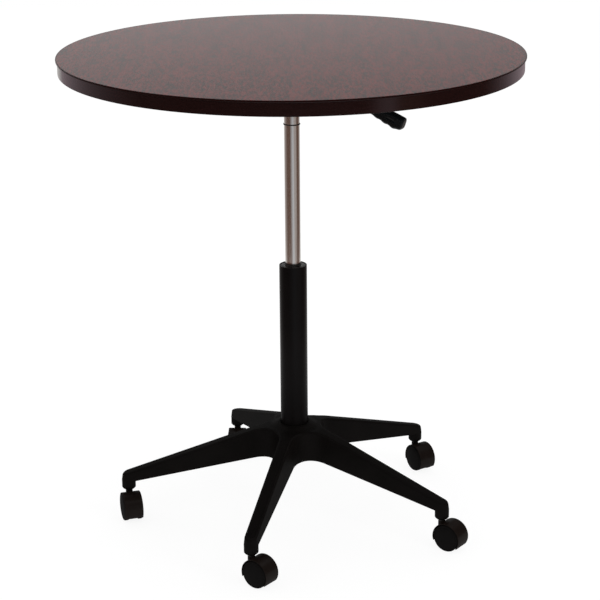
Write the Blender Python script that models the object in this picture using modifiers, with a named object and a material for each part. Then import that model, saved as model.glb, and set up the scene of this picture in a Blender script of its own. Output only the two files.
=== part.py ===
"""Round laminate table on a gas-lift column and a five-star base with twin-wheel casters.

Metres, +Z up. The origin is on the floor, on the column's axis, and +Y points away from the viewer.
The table stands at its full height, with the lever under the top at the front right.
"""
import bpy
import bmesh
from math import cos, pi, radians, sin, sqrt, tan
from mathutils import Matrix, Vector

# Clearances
SEAT_GAP = 0.0003
WHEEL_RUNNING_GAP = 0.0008
MERGE_DISTANCE = 0.00005

# Facets round turned pieces
TOP_FACETS = 64
TUBE_FACETS = 32
WHEEL_FACETS = 20
RING_FACETS = 20
SMALL_FACETS = 12

# Tabletop
TABLE_HEIGHT = 0.865
TOP_DIAMETER = 0.8128
TOP_THICKNESS = 0.026
LAMINATE_THICKNESS = 0.0008
BAND_WALL = 0.0018
BAND_LIP = 0.0029
BAND_LIP_HEIGHT = 0.003
BAND_RIM = 0.0015
BAND_CORNER = 0.002
BARB_LENGTH = 0.008
BARB_THICKNESS = 0.0016

# Gas lift
STROKE = 0.254
COLUMN_DIAMETER = 0.050
COLUMN_WALL = 0.0018
COLUMN_RIM_HEIGHT = 0.480
COLUMN_FOOT_HEIGHT = 0.124
COLUMN_FOOT_DIAMETER = 0.046
COLUMN_FLOOR = 0.003
BUSHING_LENGTH = 0.085
BUSHING_RECESS = 0.0008
TUBE_DIAMETER = 0.028
TUBE_WALL = 0.0015
TUBE_NOSE_DIAMETER = 0.026
TUBE_NOSE_LENGTH = 0.054
TUBE_NOSE_WALL = 0.003
TUBE_TOP_BELOW_BOARD = 0.021
TUBE_END_CLEARANCE = 0.010
TUBE_RING_PROUD = 0.0006
TUBE_RING_HEIGHT = 0.002
TUBE_RING_STOP = 0.001
ROD_DIAMETER = 0.010
ROD_SPIGOT_DIAMETER = 0.008
ROD_TAIL = 0.009
PISTON_THICKNESS = 0.015
PISTON_SPIGOT_DIAMETER = 0.006
ROD_GUIDE_HEIGHT = 0.015
RACE_DIAMETER = 0.030
RACE_THICKNESS = 0.002
BALL_CAGE_THICKNESS = 0.004
BUFFER_DIAMETER = 0.024
BUFFER_HEIGHT = 0.015
CLIP_DIAMETER = 0.015
CLIP_THICKNESS = 0.0015
BUTTON_DIAMETER = 0.008
BUTTON_PROUD = 0.005
BUTTON_DEPTH = 0.009
BUTTON_DOME = 0.0015

# Five-star base
ARM_COUNT = 5
FIRST_ARM_ANGLE = radians(183.5)
STEM_CIRCLE_RADIUS = 0.3095
ARM_ROOT_RADIUS = 0.052
ARM_ROOT_TOP = 0.171
ARM_SHOULDER_RADIUS = 0.076
ARM_SHOULDER_TOP = 0.166
ARM_TIP_TOP = 0.0885
ARM_ROOT_BOTTOM = 0.118
ARM_TIP_BOTTOM = 0.0695
ARM_ROOT_WIDTH = 0.033
ARM_TIP_WIDTH = 0.0258
ARM_DRAFT = 0.0045
ARM_TOP_CORNER = 0.0045
ARM_BOTTOM_CORNER = 0.001
NOSE_DROP = 0.0125
WEB_FILLET = 0.038
WEB_FILLET_STOP = radians(1.5)
HUB_DIAMETER = 0.088
HUB_TOP = 0.1775
HUB_BOTTOM = 0.1155
HUB_CROWN_DIAMETER = 0.059
HUB_EDGE_TOP = 0.170
HUB_RECESS_DIAMETER = 0.052
HUB_RECESS_DEPTH = 0.004
HUB_WALL_AT_ARM = 0.0015
SOCKET_DIAMETER = 0.0252
SOCKET_BOTTOM = 0.054
SOCKET_CHAMFER = 0.003
SOCKET_DEPTH = 0.030

# Casters
CASTER_TRAILS = [radians(-74), radians(-38), radians(-37), radians(-59), radians(-92)]
WHEEL_DIAMETER = 0.050
WHEEL_WIDTH = 0.0095
WHEEL_SPACING = 0.016
WHEEL_CORNER = 0.0025
WHEEL_FACE_DOME = 0.0025
TRAIL = 0.0184
HOOD_WALL = 0.0014
HOOD_SIDE_STEP = 0.0007
HOOD_FRONT_ANGLE = radians(199.5)
HOOD_BACK_ANGLE = radians(-35)
HOOD_STEPS = 12
WEB_SIDE_GAP = 0.0008
STEM_DIAMETER = 0.011
STEM_COLLAR_DIAMETER = 0.0128
STEM_COLLAR_HEIGHT = 0.0015
STEM_LENGTH_IN_SOCKET = 0.028
STEM_FOOT_DIAMETER = 0.008
STEM_FOOT_LENGTH = 0.018
STEM_BOSS_DIAMETER = 0.013
STEM_BOSS_TOP = 0.0502
GRIP_RING_HEIGHT = 0.005
GRIP_RING_WALL = 0.001
GRIP_RING_BELOW_TOP = 0.005
AXLE_DIAMETER = 0.006
AXLE_END_CAP = 0.0015

# Lever mechanism under the board
LEVER_AZIMUTH = radians(-30)
PLATE_SIDE = 0.160
PLATE_THICKNESS = 0.0025
PLATE_CORNER = 0.014
PAN_LENGTH = 0.126
PAN_WIDTH = 0.056
PAN_DEPTH = 0.028
PAN_CORNER = 0.008
PLATE_SCREW_SPREAD = 0.066
SCREW_HEAD_DIAMETER = 0.011
SCREW_HEAD_HEIGHT = 0.003
SCREW_SHANK_DIAMETER = 0.0045
SCREW_LENGTH = 0.018
TUBE_SOCKET_DIAMETER = 0.038
TUBE_SOCKET_LENGTH = 0.0505
TUBE_SOCKET_ABOVE_PAN = 0.003
LEVER_PIVOT_REACH = 0.045
LEVER_ROD_DIAMETER = 0.008
LEVER_INNER_OVERHANG = 0.006
LEVER_BEND_REACH = 0.078
LEVER_BEND_RADIUS = 0.020
LEVER_SLOT_CLEARANCE = 0.003
PIVOT_PIN_DIAMETER = 0.0036
PIVOT_PIN_PROUD = 0.0015
GRIP_START_REACH = 0.140
GRIP_START_DROP = 0.040
GRIP_ANGLE = radians(20.2)
GRIP_LENGTH = 0.0840
GRIP_ROOT_HEIGHT = 0.0115
GRIP_END_HEIGHT = 0.0258
GRIP_ROOT_WIDTH = 0.0125
GRIP_END_WIDTH = 0.0175
GRIP_END_ROUND = 0.006
GRIP_END_UNDERCUT = 0.014
GRIP_SCALLOP_DEPTH = 0.0016
GRIP_SCALLOP_PITCH = 0.0168
GRIP_BORE_DEPTH = 0.052

# Heights and radii that follow from the values above
top_radius = TOP_DIAMETER / 2
band_radius = top_radius - BAND_LIP
board_radius = band_radius - BAND_WALL - SEAT_GAP
laminate_radius = top_radius - BAND_RIM
underside = TABLE_HEIGHT - TOP_THICKNESS
board_top = TABLE_HEIGHT - LAMINATE_THICKNESS - SEAT_GAP
barb_height = underside + (TOP_THICKNESS - BAND_LIP_HEIGHT) / 2

column_radius = COLUMN_DIAMETER / 2
column_bore = column_radius - COLUMN_WALL
column_foot_radius = COLUMN_FOOT_DIAMETER / 2
column_floor_top = COLUMN_FOOT_HEIGHT + COLUMN_FLOOR
recess_bottom = HUB_TOP - HUB_RECESS_DEPTH
column_taper_top = recess_bottom - SEAT_GAP

rod_radius = ROD_DIAMETER / 2
rod_spigot_radius = ROD_SPIGOT_DIAMETER / 2
race_bore = rod_spigot_radius + SEAT_GAP
lower_race_base = column_floor_top + SEAT_GAP
ball_cage_base = lower_race_base + RACE_THICKNESS + SEAT_GAP
upper_race_base = ball_cage_base + BALL_CAGE_THICKNESS + SEAT_GAP
rod_shoulder = upper_race_base + RACE_THICKNESS + SEAT_GAP
buffer_top = rod_shoulder + SEAT_GAP + BUFFER_HEIGHT

tube_radius = TUBE_DIAMETER / 2
tube_bore = tube_radius - TUBE_WALL
tube_nose_radius = TUBE_NOSE_DIAMETER / 2
tube_top = underside - TUBE_TOP_BELOW_BOARD
tube_bottom = buffer_top + STROKE + TUBE_END_CLEARANCE
tube_nose_base = tube_top - TUBE_NOSE_LENGTH
tube_ring_base = COLUMN_RIM_HEIGHT + STROKE + TUBE_RING_STOP
rod_guide_base = tube_bottom + SEAT_GAP
piston_base = rod_guide_base + ROD_GUIDE_HEIGHT + 2 * SEAT_GAP
button_bore = BUTTON_DIAMETER / 2 + SEAT_GAP
button_top = tube_top + BUTTON_PROUD

socket_radius = SOCKET_DIAMETER / 2
nose_length = socket_radius + SEAT_GAP
arm_bisector = pi / ARM_COUNT
fillet_distance = (ARM_ROOT_WIDTH / 2 + WEB_FILLET) / sin(arm_bisector)
fillet_x = fillet_distance * cos(arm_bisector)
fillet_y = fillet_distance * sin(arm_bisector)
fillet_inner = fillet_x - WEB_FILLET * cos(arm_bisector + WEB_FILLET_STOP)
wheel_radius = WHEEL_DIAMETER / 2
wheel_outer_face = WHEEL_SPACING / 2 + WHEEL_WIDTH
hood_inner_radius = wheel_radius + WHEEL_RUNNING_GAP
stem_radius = STEM_DIAMETER / 2
stem_foot_radius = STEM_FOOT_DIAMETER / 2
axle_radius = AXLE_DIAMETER / 2

plate_top = underside - SEAT_GAP
plate_bottom = plate_top - PLATE_THICKNESS
pan_bottom = plate_top - PAN_DEPTH
pan_floor_top = pan_bottom + PLATE_THICKNESS
lever_rod_radius = LEVER_ROD_DIAMETER / 2
lever_height = button_top + SEAT_GAP + lever_rod_radius
pin_radius = PIVOT_PIN_DIAMETER / 2


def clear_scene():
    """Remove every object and collection of the file that is open."""
    for old in list(bpy.data.objects):
        bpy.data.objects.remove(old, do_unlink=True)
    for old in list(bpy.data.collections):
        bpy.data.collections.remove(old)


def new_collection(name):
    """Make a collection under the scene."""
    made = bpy.data.collections.new(name)
    bpy.context.scene.collection.children.link(made)
    return made


def finish(name, colour, roughness, metallic=0.0):
    """A plain Principled finish."""
    made = bpy.data.materials.new(name)
    made.use_nodes = True
    shader = made.node_tree.nodes["Principled BSDF"]
    shader.inputs["Base Color"].default_value = (*colour, 1.0)
    shader.inputs["Roughness"].default_value = roughness
    shader.inputs["Metallic"].default_value = metallic
    made.diffuse_color = (*colour, 1.0)
    return made


clear_scene()
PARTS = new_collection("round_table")
CUTTERS = new_collection("round_table_cutters")

LAMINATE = finish("mahogany_laminate", (0.060, 0.022, 0.018), 0.30)
EDGE_BAND = finish("mahogany_edge_band", (0.020, 0.007, 0.006), 0.32)
CHIPBOARD = finish("chipboard", (0.36, 0.24, 0.14), 0.85)
BLACK_NYLON = finish("black_nylon", (0.012, 0.011, 0.011), 0.50)
BLACK_PAINT = finish("black_column_paint", (0.010, 0.009, 0.009), 0.45)
BLACK_PLATE = finish("black_plate_paint", (0.013, 0.013, 0.013), 0.55)
CHROME = finish("chromed_steel", (0.60, 0.58, 0.56), 0.16, 1.0)
STEEL = finish("zinc_plated_steel", (0.50, 0.50, 0.48), 0.35, 1.0)
GREY_PLASTIC = finish("grey_bushing_plastic", (0.020, 0.019, 0.018), 0.50)
RUBBER = finish("black_rubber", (0.015, 0.015, 0.015), 0.80)
GRIP_PLASTIC = finish("black_grip_plastic", (0.012, 0.012, 0.013), 0.38)


def place(name, mesh, look, parent=None, location=(0, 0, 0), rotation=(0, 0, 0)):
    """Put a mesh in the parts' collection as a named piece with its finish."""
    piece = bpy.data.objects.new(name, mesh)
    PARTS.objects.link(piece)
    if not mesh.materials:
        mesh.materials.append(look)
    piece.parent = parent
    piece.location = location
    piece.rotation_euler = rotation
    return piece


def guide(name, parent=None, location=(0, 0, 0), turn=0.0):
    """An empty that carries pieces, with its origin on their joint's axis."""
    empty = bpy.data.objects.new(name, None)
    PARTS.objects.link(empty)
    empty.parent = parent
    empty.location = location
    empty.rotation_euler = (0, 0, turn)
    return empty


def cutter(name, mesh, parent=None, location=(0, 0, 0), rotation=(0, 0, 0)):
    """A tool for a Boolean, kept out of the parts."""
    tool = bpy.data.objects.new(name, mesh)
    CUTTERS.objects.link(tool)
    tool.parent = parent
    tool.location = location
    tool.rotation_euler = rotation
    tool.hide_render = True
    tool.display_type = "WIRE"
    return tool


def carve(piece, tool, operation="DIFFERENCE"):
    """Add an exact Boolean of the tool to the piece."""
    modifier = piece.modifiers.new(tool.name, "BOOLEAN")
    modifier.operation = operation
    modifier.solver = "EXACT"
    modifier.object = tool


def carve_all(piece, name, tools, operation="DIFFERENCE"):
    """Add one exact Boolean of several tools, which share a collection, to the piece."""
    group = bpy.data.collections.new(name)
    CUTTERS.children.link(group)
    for tool in tools:
        CUTTERS.objects.unlink(tool)
        group.objects.link(tool)
    modifier = piece.modifiers.new(name, "BOOLEAN")
    modifier.operation = operation
    modifier.solver = "EXACT"
    modifier.operand_type = "COLLECTION"
    modifier.collection = group


def baked(piece):
    """The mesh that the piece's modifiers give, for pieces that share it."""
    bpy.context.view_layer.update()
    evaluated = piece.evaluated_get(bpy.context.evaluated_depsgraph_get())
    return bpy.data.meshes.new_from_object(evaluated)


def smooth(mesh, angle=radians(35)):
    """Shade round faces smooth and keep the edges sharper than the angle."""
    mesh.shade_smooth()
    mesh.set_sharp_from_angle(angle=angle)
    return mesh


def turned_mesh(name, outline, facets):
    """Turn an outline of (radius, height) points round Z, which runs down the outer side.

    An outline that starts and ends on the axis is a chain, any other is a closed ring.
    """
    source = bpy.data.meshes.new(name + "_outline")
    points = [(radius, 0, height) for radius, height in outline]
    edges = [(i, i + 1) for i in range(len(points) - 1)]
    on_axis = outline[0][0] == 0 and outline[-1][0] == 0
    if not on_axis:
        edges.append((len(points) - 1, 0))
    source.from_pydata(points, edges, [])
    blank = bpy.data.objects.new(name + "_outline", source)
    CUTTERS.objects.link(blank)
    screw = blank.modifiers.new("turn", "SCREW")
    screw.axis = "Z"
    screw.angle = 2 * pi
    screw.steps = facets
    screw.render_steps = facets
    screw.use_merge_vertices = True
    screw.merge_threshold = MERGE_DISTANCE
    mesh = baked(blank)
    mesh.name = name
    bpy.data.objects.remove(blank)
    return smooth(mesh)


def plate_mesh(name, outline, thickness):
    """A flat outline in X and Y with straight sides, centred on Z = 0."""
    curve = bpy.data.curves.new(name, "CURVE")
    curve.dimensions = "2D"
    curve.fill_mode = "BOTH"
    curve.extrude = thickness / 2
    spline = curve.splines.new("POLY")
    spline.points.add(len(outline) - 1)
    for point, (x, y) in zip(spline.points, outline):
        point.co = (x, y, 0, 1)
    spline.use_cyclic_u = True
    blank = bpy.data.objects.new(name + "_curve", curve)
    CUTTERS.objects.link(blank)
    mesh = baked(blank)
    mesh.name = name
    bpy.data.objects.remove(blank)
    weld(mesh)
    return smooth(mesh)


def weld(mesh):
    """Join the points that lie on each other and turn the faces outwards."""
    edit = bmesh.new()
    edit.from_mesh(mesh)
    bmesh.ops.remove_doubles(edit, verts=edit.verts, dist=MERGE_DISTANCE)
    bmesh.ops.recalc_face_normals(edit, faces=edit.faces)
    edit.to_mesh(mesh)
    edit.free()


def box_mesh(name, size, centre, corner=0.0, corner_steps=3):
    """A box with its upright edges rounded."""
    edit = bmesh.new()
    bmesh.ops.create_cube(edit, size=1.0)
    bmesh.ops.scale(edit, verts=edit.verts, vec=size)
    if corner > 0:
        upright = [e for e in edit.edges if abs(e.verts[0].co.z - e.verts[1].co.z) > size[2] / 2]
        bmesh.ops.bevel(edit, geom=upright, offset=corner, segments=corner_steps, affect="EDGES",
                        profile=0.5)
    bmesh.ops.translate(edit, verts=edit.verts, vec=centre)
    mesh = bpy.data.meshes.new(name)
    edit.to_mesh(mesh)
    edit.free()
    return smooth(mesh)


def rod_mesh(name, radius, low, high, facets=SMALL_FACETS):
    """A plain round bar along Z."""
    return turned_mesh(name, [(0, high), (radius, high), (radius, low), (0, low)], facets)


def lofted_mesh(name, rings):
    """A skin over rings of points that go round X anticlockwise, with both ends closed."""
    edit = bmesh.new()
    rows = [[edit.verts.new(point) for point in ring] for ring in rings]
    count = len(rings[0])
    for near, far in zip(rows, rows[1:]):
        for i in range(count):
            j = (i + 1) % count
            edit.faces.new((near[i], near[j], far[j], far[i]))
    edit.faces.new(rows[0][::-1])
    edit.faces.new(rows[-1])
    bmesh.ops.recalc_face_normals(edit, faces=edit.faces)
    mesh = bpy.data.meshes.new(name)
    edit.to_mesh(mesh)
    edit.free()
    return smooth(mesh)


def ring_outline(outer, inner, low, high):
    """A plain ring's section: down its outer side and up its bore."""
    return [(outer, high), (outer, low), (inner, low), (inner, high)]


# Tabletop: chipboard core, laminate face and an edge band pressed in by its barb, which carries
# the laminate's rim and guards it with a thin upstand

def make_tabletop(lift, mechanism):
    groove_half = BARB_THICKNESS / 2 + SEAT_GAP
    groove_radius = board_radius - BARB_LENGTH - SEAT_GAP
    board = place("tabletop_board", turned_mesh("tabletop_board", [
        (0, board_top),
        (board_radius, board_top),
        (board_radius, barb_height + groove_half),
        (groove_radius, barb_height + groove_half),
        (groove_radius, barb_height - groove_half),
        (board_radius, barb_height - groove_half),
        (board_radius, underside),
        (0, underside),
    ], TOP_FACETS), CHIPBOARD, lift)
    pilot = rod_mesh("pilot_hole", SCREW_SHANK_DIAMETER / 2 + SEAT_GAP,
                     underside - SEAT_GAP, underside + SCREW_LENGTH)
    for number, (x, y) in enumerate(screw_places(), 1):
        carve(board, cutter(f"pilot_hole_{number}", pilot, mechanism, (x, y, 0)))

    place("laminate_face", turned_mesh("laminate_face", [
        (0, TABLE_HEIGHT),
        (laminate_radius, TABLE_HEIGHT),
        (laminate_radius, TABLE_HEIGHT - LAMINATE_THICKNESS),
        (0, TABLE_HEIGHT - LAMINATE_THICKNESS),
    ], TOP_FACETS), LAMINATE, lift)

    inner = board_radius + SEAT_GAP
    lip_base = TABLE_HEIGHT - BAND_LIP_HEIGHT
    barb_tip = board_radius - BARB_LENGTH
    place("edge_band", turned_mesh("edge_band", [
        (top_radius - BAND_LIP_HEIGHT / 4, TABLE_HEIGHT),
        (top_radius, TABLE_HEIGHT - BAND_LIP_HEIGHT / 4),
        (top_radius, lip_base),
        (band_radius, lip_base),
        (band_radius, underside + BAND_CORNER),
        (band_radius - BAND_CORNER * 0.6, underside),
        (inner, underside),
        (inner, barb_height - BARB_THICKNESS / 2),
        (barb_tip, barb_height - BARB_THICKNESS / 2),
        (barb_tip, barb_height + BARB_THICKNESS / 2),
        (inner, barb_height + BARB_THICKNESS / 2),
        (inner, board_top),
        (laminate_radius + SEAT_GAP, board_top),
        (laminate_radius + SEAT_GAP, TABLE_HEIGHT),
    ], TOP_FACETS), EDGE_BAND, lift)


# Mounting plate: a pressed pan screwed under the board, with the tapered socket in its floor

def screw_places():
    return [(x, y) for x in (-PLATE_SCREW_SPREAD, PLATE_SCREW_SPREAD)
            for y in (-PLATE_SCREW_SPREAD, PLATE_SCREW_SPREAD)]


def make_mounting_plate(mechanism):
    plate = place("mounting_plate", box_mesh(
        "mounting_plate", (PLATE_SIDE, PLATE_SIDE, PLATE_THICKNESS),
        (0, 0, plate_top - PLATE_THICKNESS / 2), PLATE_CORNER), BLACK_PLATE, mechanism)
    pan_height = PAN_DEPTH - PLATE_THICKNESS / 2
    carve(plate, cutter("pan_body", box_mesh(
        "pan_body", (PAN_LENGTH, PAN_WIDTH, pan_height),
        (0, 0, pan_bottom + pan_height / 2), PAN_CORNER), mechanism), "UNION")
    carve(plate, cutter("pan_hollow", box_mesh(
        "pan_hollow", (PAN_LENGTH - 2 * PLATE_THICKNESS, PAN_WIDTH - 2 * PLATE_THICKNESS, PAN_DEPTH),
        (0, 0, pan_floor_top + PAN_DEPTH / 2), PAN_CORNER - PLATE_THICKNESS), mechanism))

    carve(plate, cutter("socket_hole", rod_mesh(
        "socket_hole", TUBE_SOCKET_DIAMETER / 2 + SEAT_GAP,
        pan_bottom - PLATE_THICKNESS, pan_floor_top + PLATE_THICKNESS, TUBE_FACETS), mechanism))

    slot_reach = lever_rod_radius + LEVER_SLOT_CLEARANCE
    slot_low = lever_height - slot_reach
    slot_high = min(lever_height + slot_reach, plate_bottom - SEAT_GAP)
    carve(plate, cutter("lever_slot", box_mesh(
        "lever_slot", (4 * PLATE_THICKNESS, 2 * slot_reach, slot_high - slot_low),
        (PAN_LENGTH / 2, 0, (slot_high + slot_low) / 2)), mechanism))

    pin_hole = rod_mesh("pin_hole", pin_radius + SEAT_GAP, -PAN_WIDTH, PAN_WIDTH)
    carve(plate, cutter("pin_hole", pin_hole, mechanism, (LEVER_PIVOT_REACH, 0, lever_height),
                        (pi / 2, 0, 0)))

    screw_hole = rod_mesh("screw_hole", SCREW_SHANK_DIAMETER / 2 + SEAT_GAP,
                          plate_bottom - PLATE_THICKNESS, plate_top + PLATE_THICKNESS)
    for number, (x, y) in enumerate(screw_places(), 1):
        carve(plate, cutter(f"screw_hole_{number}", screw_hole, mechanism, (x, y, 0)))

    head_top = plate_bottom - SEAT_GAP
    head_radius = SCREW_HEAD_DIAMETER / 2
    shank = SCREW_SHANK_DIAMETER / 2
    tip = head_top + SCREW_LENGTH
    screw = turned_mesh("plate_screw", [
        (0, tip),
        (shank, tip - 2 * shank),
        (shank, head_top),
        (head_radius, head_top),
        (head_radius, head_top - SCREW_HEAD_HEIGHT / 3),
        (head_radius * 0.55, head_top - SCREW_HEAD_HEIGHT),
        (0, head_top - SCREW_HEAD_HEIGHT),
    ], SMALL_FACETS)
    for number, (x, y) in enumerate(screw_places(), 1):
        place(f"plate_screw_{number}", screw, STEEL, mechanism, (x, y, 0))

    socket_top = pan_floor_top + TUBE_SOCKET_ABOVE_PAN
    socket_bottom = socket_top - TUBE_SOCKET_LENGTH
    place("tube_socket", turned_mesh("tube_socket", [
        (TUBE_SOCKET_DIAMETER / 2, socket_top),
        (TUBE_SOCKET_DIAMETER / 2, pan_bottom - PLATE_THICKNESS),
        (tube_radius + SEAT_GAP + PLATE_THICKNESS, socket_bottom),
        (tube_radius_at(socket_bottom) + SEAT_GAP, socket_bottom),
        (tube_radius_at(socket_top) + SEAT_GAP, socket_top),
    ], TUBE_FACETS), STEEL, mechanism)


def tube_radius_at(height):
    """The pressure tube's outer radius at a height on its tapered nose."""
    share = min(max((height - tube_nose_base) / TUBE_NOSE_LENGTH, 0.0), 1.0)
    return tube_radius + (tube_nose_radius - tube_radius) * share


# Gas lift: column, thrust bearing, rod and piston, pressure tube and release button

def column_radius_at(height):
    """The column's outer radius, which tapers where it sits in the hub."""
    share = min(max((height - COLUMN_FOOT_HEIGHT) / (column_taper_top - COLUMN_FOOT_HEIGHT), 0.0), 1.0)
    return column_foot_radius + (column_radius - column_foot_radius) * share


def make_column():
    place("column_tube", turned_mesh("column_tube", [
        (column_radius, COLUMN_RIM_HEIGHT),
        (column_radius, column_taper_top),
        (column_foot_radius, COLUMN_FOOT_HEIGHT),
        (race_bore, COLUMN_FOOT_HEIGHT),
        (race_bore, column_floor_top),
        (column_radius_at(column_floor_top) - COLUMN_WALL, column_floor_top),
        (column_bore, column_taper_top),
        (column_bore, COLUMN_RIM_HEIGHT),
    ], TUBE_FACETS), BLACK_PAINT)
    bushing_top = COLUMN_RIM_HEIGHT - BUSHING_RECESS
    place("guide_bushing", turned_mesh("guide_bushing", ring_outline(
        column_bore - SEAT_GAP, tube_radius + SEAT_GAP, bushing_top - BUSHING_LENGTH, bushing_top),
        TUBE_FACETS), GREY_PLASTIC)
    place("lower_race", turned_mesh("lower_race", ring_outline(
        RACE_DIAMETER / 2, race_bore, lower_race_base, lower_race_base + RACE_THICKNESS),
        RING_FACETS), STEEL)
    place("ball_cage", turned_mesh("ball_cage", ring_outline(
        RACE_DIAMETER / 2 - SEAT_GAP, race_bore + SEAT_GAP, ball_cage_base,
        ball_cage_base + BALL_CAGE_THICKNESS), RING_FACETS), GREY_PLASTIC)


def make_rod():
    swivel = guide("table_swivel")
    place("upper_race", turned_mesh("upper_race", ring_outline(
        RACE_DIAMETER / 2, race_bore, upper_race_base, upper_race_base + RACE_THICKNESS),
        RING_FACETS), STEEL, swivel)
    place("rubber_buffer", turned_mesh("rubber_buffer", ring_outline(
        BUFFER_DIAMETER / 2, rod_radius + SEAT_GAP, rod_shoulder, buffer_top), RING_FACETS),
        RUBBER, swivel)
    spigot = PISTON_SPIGOT_DIAMETER / 2
    piston_top = piston_base + PISTON_THICKNESS
    rod_end = piston_top + 2 * spigot
    place("piston_rod", turned_mesh("piston_rod", [
        (0, rod_end),
        (spigot, rod_end),
        (spigot, piston_base - SEAT_GAP),
        (rod_radius, piston_base - SEAT_GAP),
        (rod_radius, rod_shoulder),
        (rod_spigot_radius, rod_shoulder),
        (rod_spigot_radius, COLUMN_FOOT_HEIGHT - ROD_TAIL),
        (0, COLUMN_FOOT_HEIGHT - ROD_TAIL),
    ], RING_FACETS), CHROME, swivel)
    place("piston", turned_mesh("piston", ring_outline(
        tube_bore - SEAT_GAP, spigot + SEAT_GAP, piston_base, piston_top), TUBE_FACETS), STEEL, swivel)
    clip_top = COLUMN_FOOT_HEIGHT - SEAT_GAP
    place("rod_clip", turned_mesh("rod_clip", ring_outline(
        CLIP_DIAMETER / 2, race_bore, clip_top - CLIP_THICKNESS, clip_top), RING_FACETS), STEEL, swivel)
    return swivel


def make_pressure_tube(lift):
    place("pressure_tube", turned_mesh("pressure_tube", [
        (tube_nose_radius, tube_top),
        (tube_radius, tube_nose_base),
        (tube_radius, tube_bottom),
        (tube_bore, tube_bottom),
        (tube_bore, tube_nose_base),
        (tube_nose_radius - TUBE_WALL, tube_top - TUBE_NOSE_WALL),
        (button_bore, tube_top - TUBE_NOSE_WALL),
        (button_bore, tube_top),
    ], TUBE_FACETS), CHROME, lift)
    place("tube_ring", turned_mesh("tube_ring", ring_outline(
        tube_radius + SEAT_GAP + TUBE_RING_PROUD, tube_radius + SEAT_GAP, tube_ring_base,
        tube_ring_base + TUBE_RING_HEIGHT), TUBE_FACETS), RUBBER, lift)
    place("rod_guide", turned_mesh("rod_guide", ring_outline(
        tube_bore - SEAT_GAP, rod_radius + SEAT_GAP, rod_guide_base, rod_guide_base + ROD_GUIDE_HEIGHT),
        TUBE_FACETS), GREY_PLASTIC, lift)

    press = guide("release_button_slide", lift)
    button_radius = BUTTON_DIAMETER / 2
    place("release_button", turned_mesh("release_button", [
        (0, button_top),
        (button_radius * 0.6, button_top - BUTTON_DOME * 0.3),
        (button_radius, button_top - BUTTON_DOME),
        (button_radius, tube_top - BUTTON_DEPTH),
        (0, tube_top - BUTTON_DEPTH),
    ], RING_FACETS), STEEL, press)


# Lever: a cranked rod on a pin across the pan, with a finger grip

def rounded_path(corners, radius, steps=4):
    """Points along straight runs whose inner corners are arcs of the given radius."""
    path = [Vector(corners[0])]
    for before, corner, after in zip(corners, corners[1:], corners[2:]):
        corner = Vector(corner)
        back = (Vector(before) - corner).normalized()
        ahead = (Vector(after) - corner).normalized()
        half = back.angle(ahead) / 2
        centre = corner + (back + ahead).normalized() * (radius / sin(half))
        start = corner + back * (radius / tan(half)) - centre
        turn_axis = start.cross(corner + ahead * (radius / tan(half)) - centre).normalized()
        for step in range(steps + 1):
            turn = Matrix.Rotation((pi - 2 * half) * step / steps, 3, turn_axis)
            path.append(centre + turn @ start)
    path.append(Vector(corners[-1]))
    return path


def grip_half_sizes(along):
    """Half height above and below, and half width of the grip at a distance along it."""
    share = along / GRIP_LENGTH
    eased = sin(pi / 2 * min(share * 1.25, 1.0))
    height = GRIP_ROOT_HEIGHT + (GRIP_END_HEIGHT - GRIP_ROOT_HEIGHT) * eased
    width = GRIP_ROOT_WIDTH + (GRIP_END_WIDTH - GRIP_ROOT_WIDTH) * share
    scallop = GRIP_SCALLOP_DEPTH * (0.5 - 0.5 * cos(2 * pi * along / GRIP_SCALLOP_PITCH)) * eased
    above = end_rounding(along, GRIP_END_ROUND, 0.62)
    below = end_rounding(along, GRIP_END_UNDERCUT, 0.30)
    return height / 2 * above, (height / 2 - scallop) * below, width / 2 * above


def end_rounding(along, reach, least):
    """Share of the grip's size left where its end rounds off over the reach."""
    past = max(along - (GRIP_LENGTH - reach), 0.0) / reach
    return least + (1 - least) * sqrt(max(1 - past ** 2, 0.0))


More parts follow.
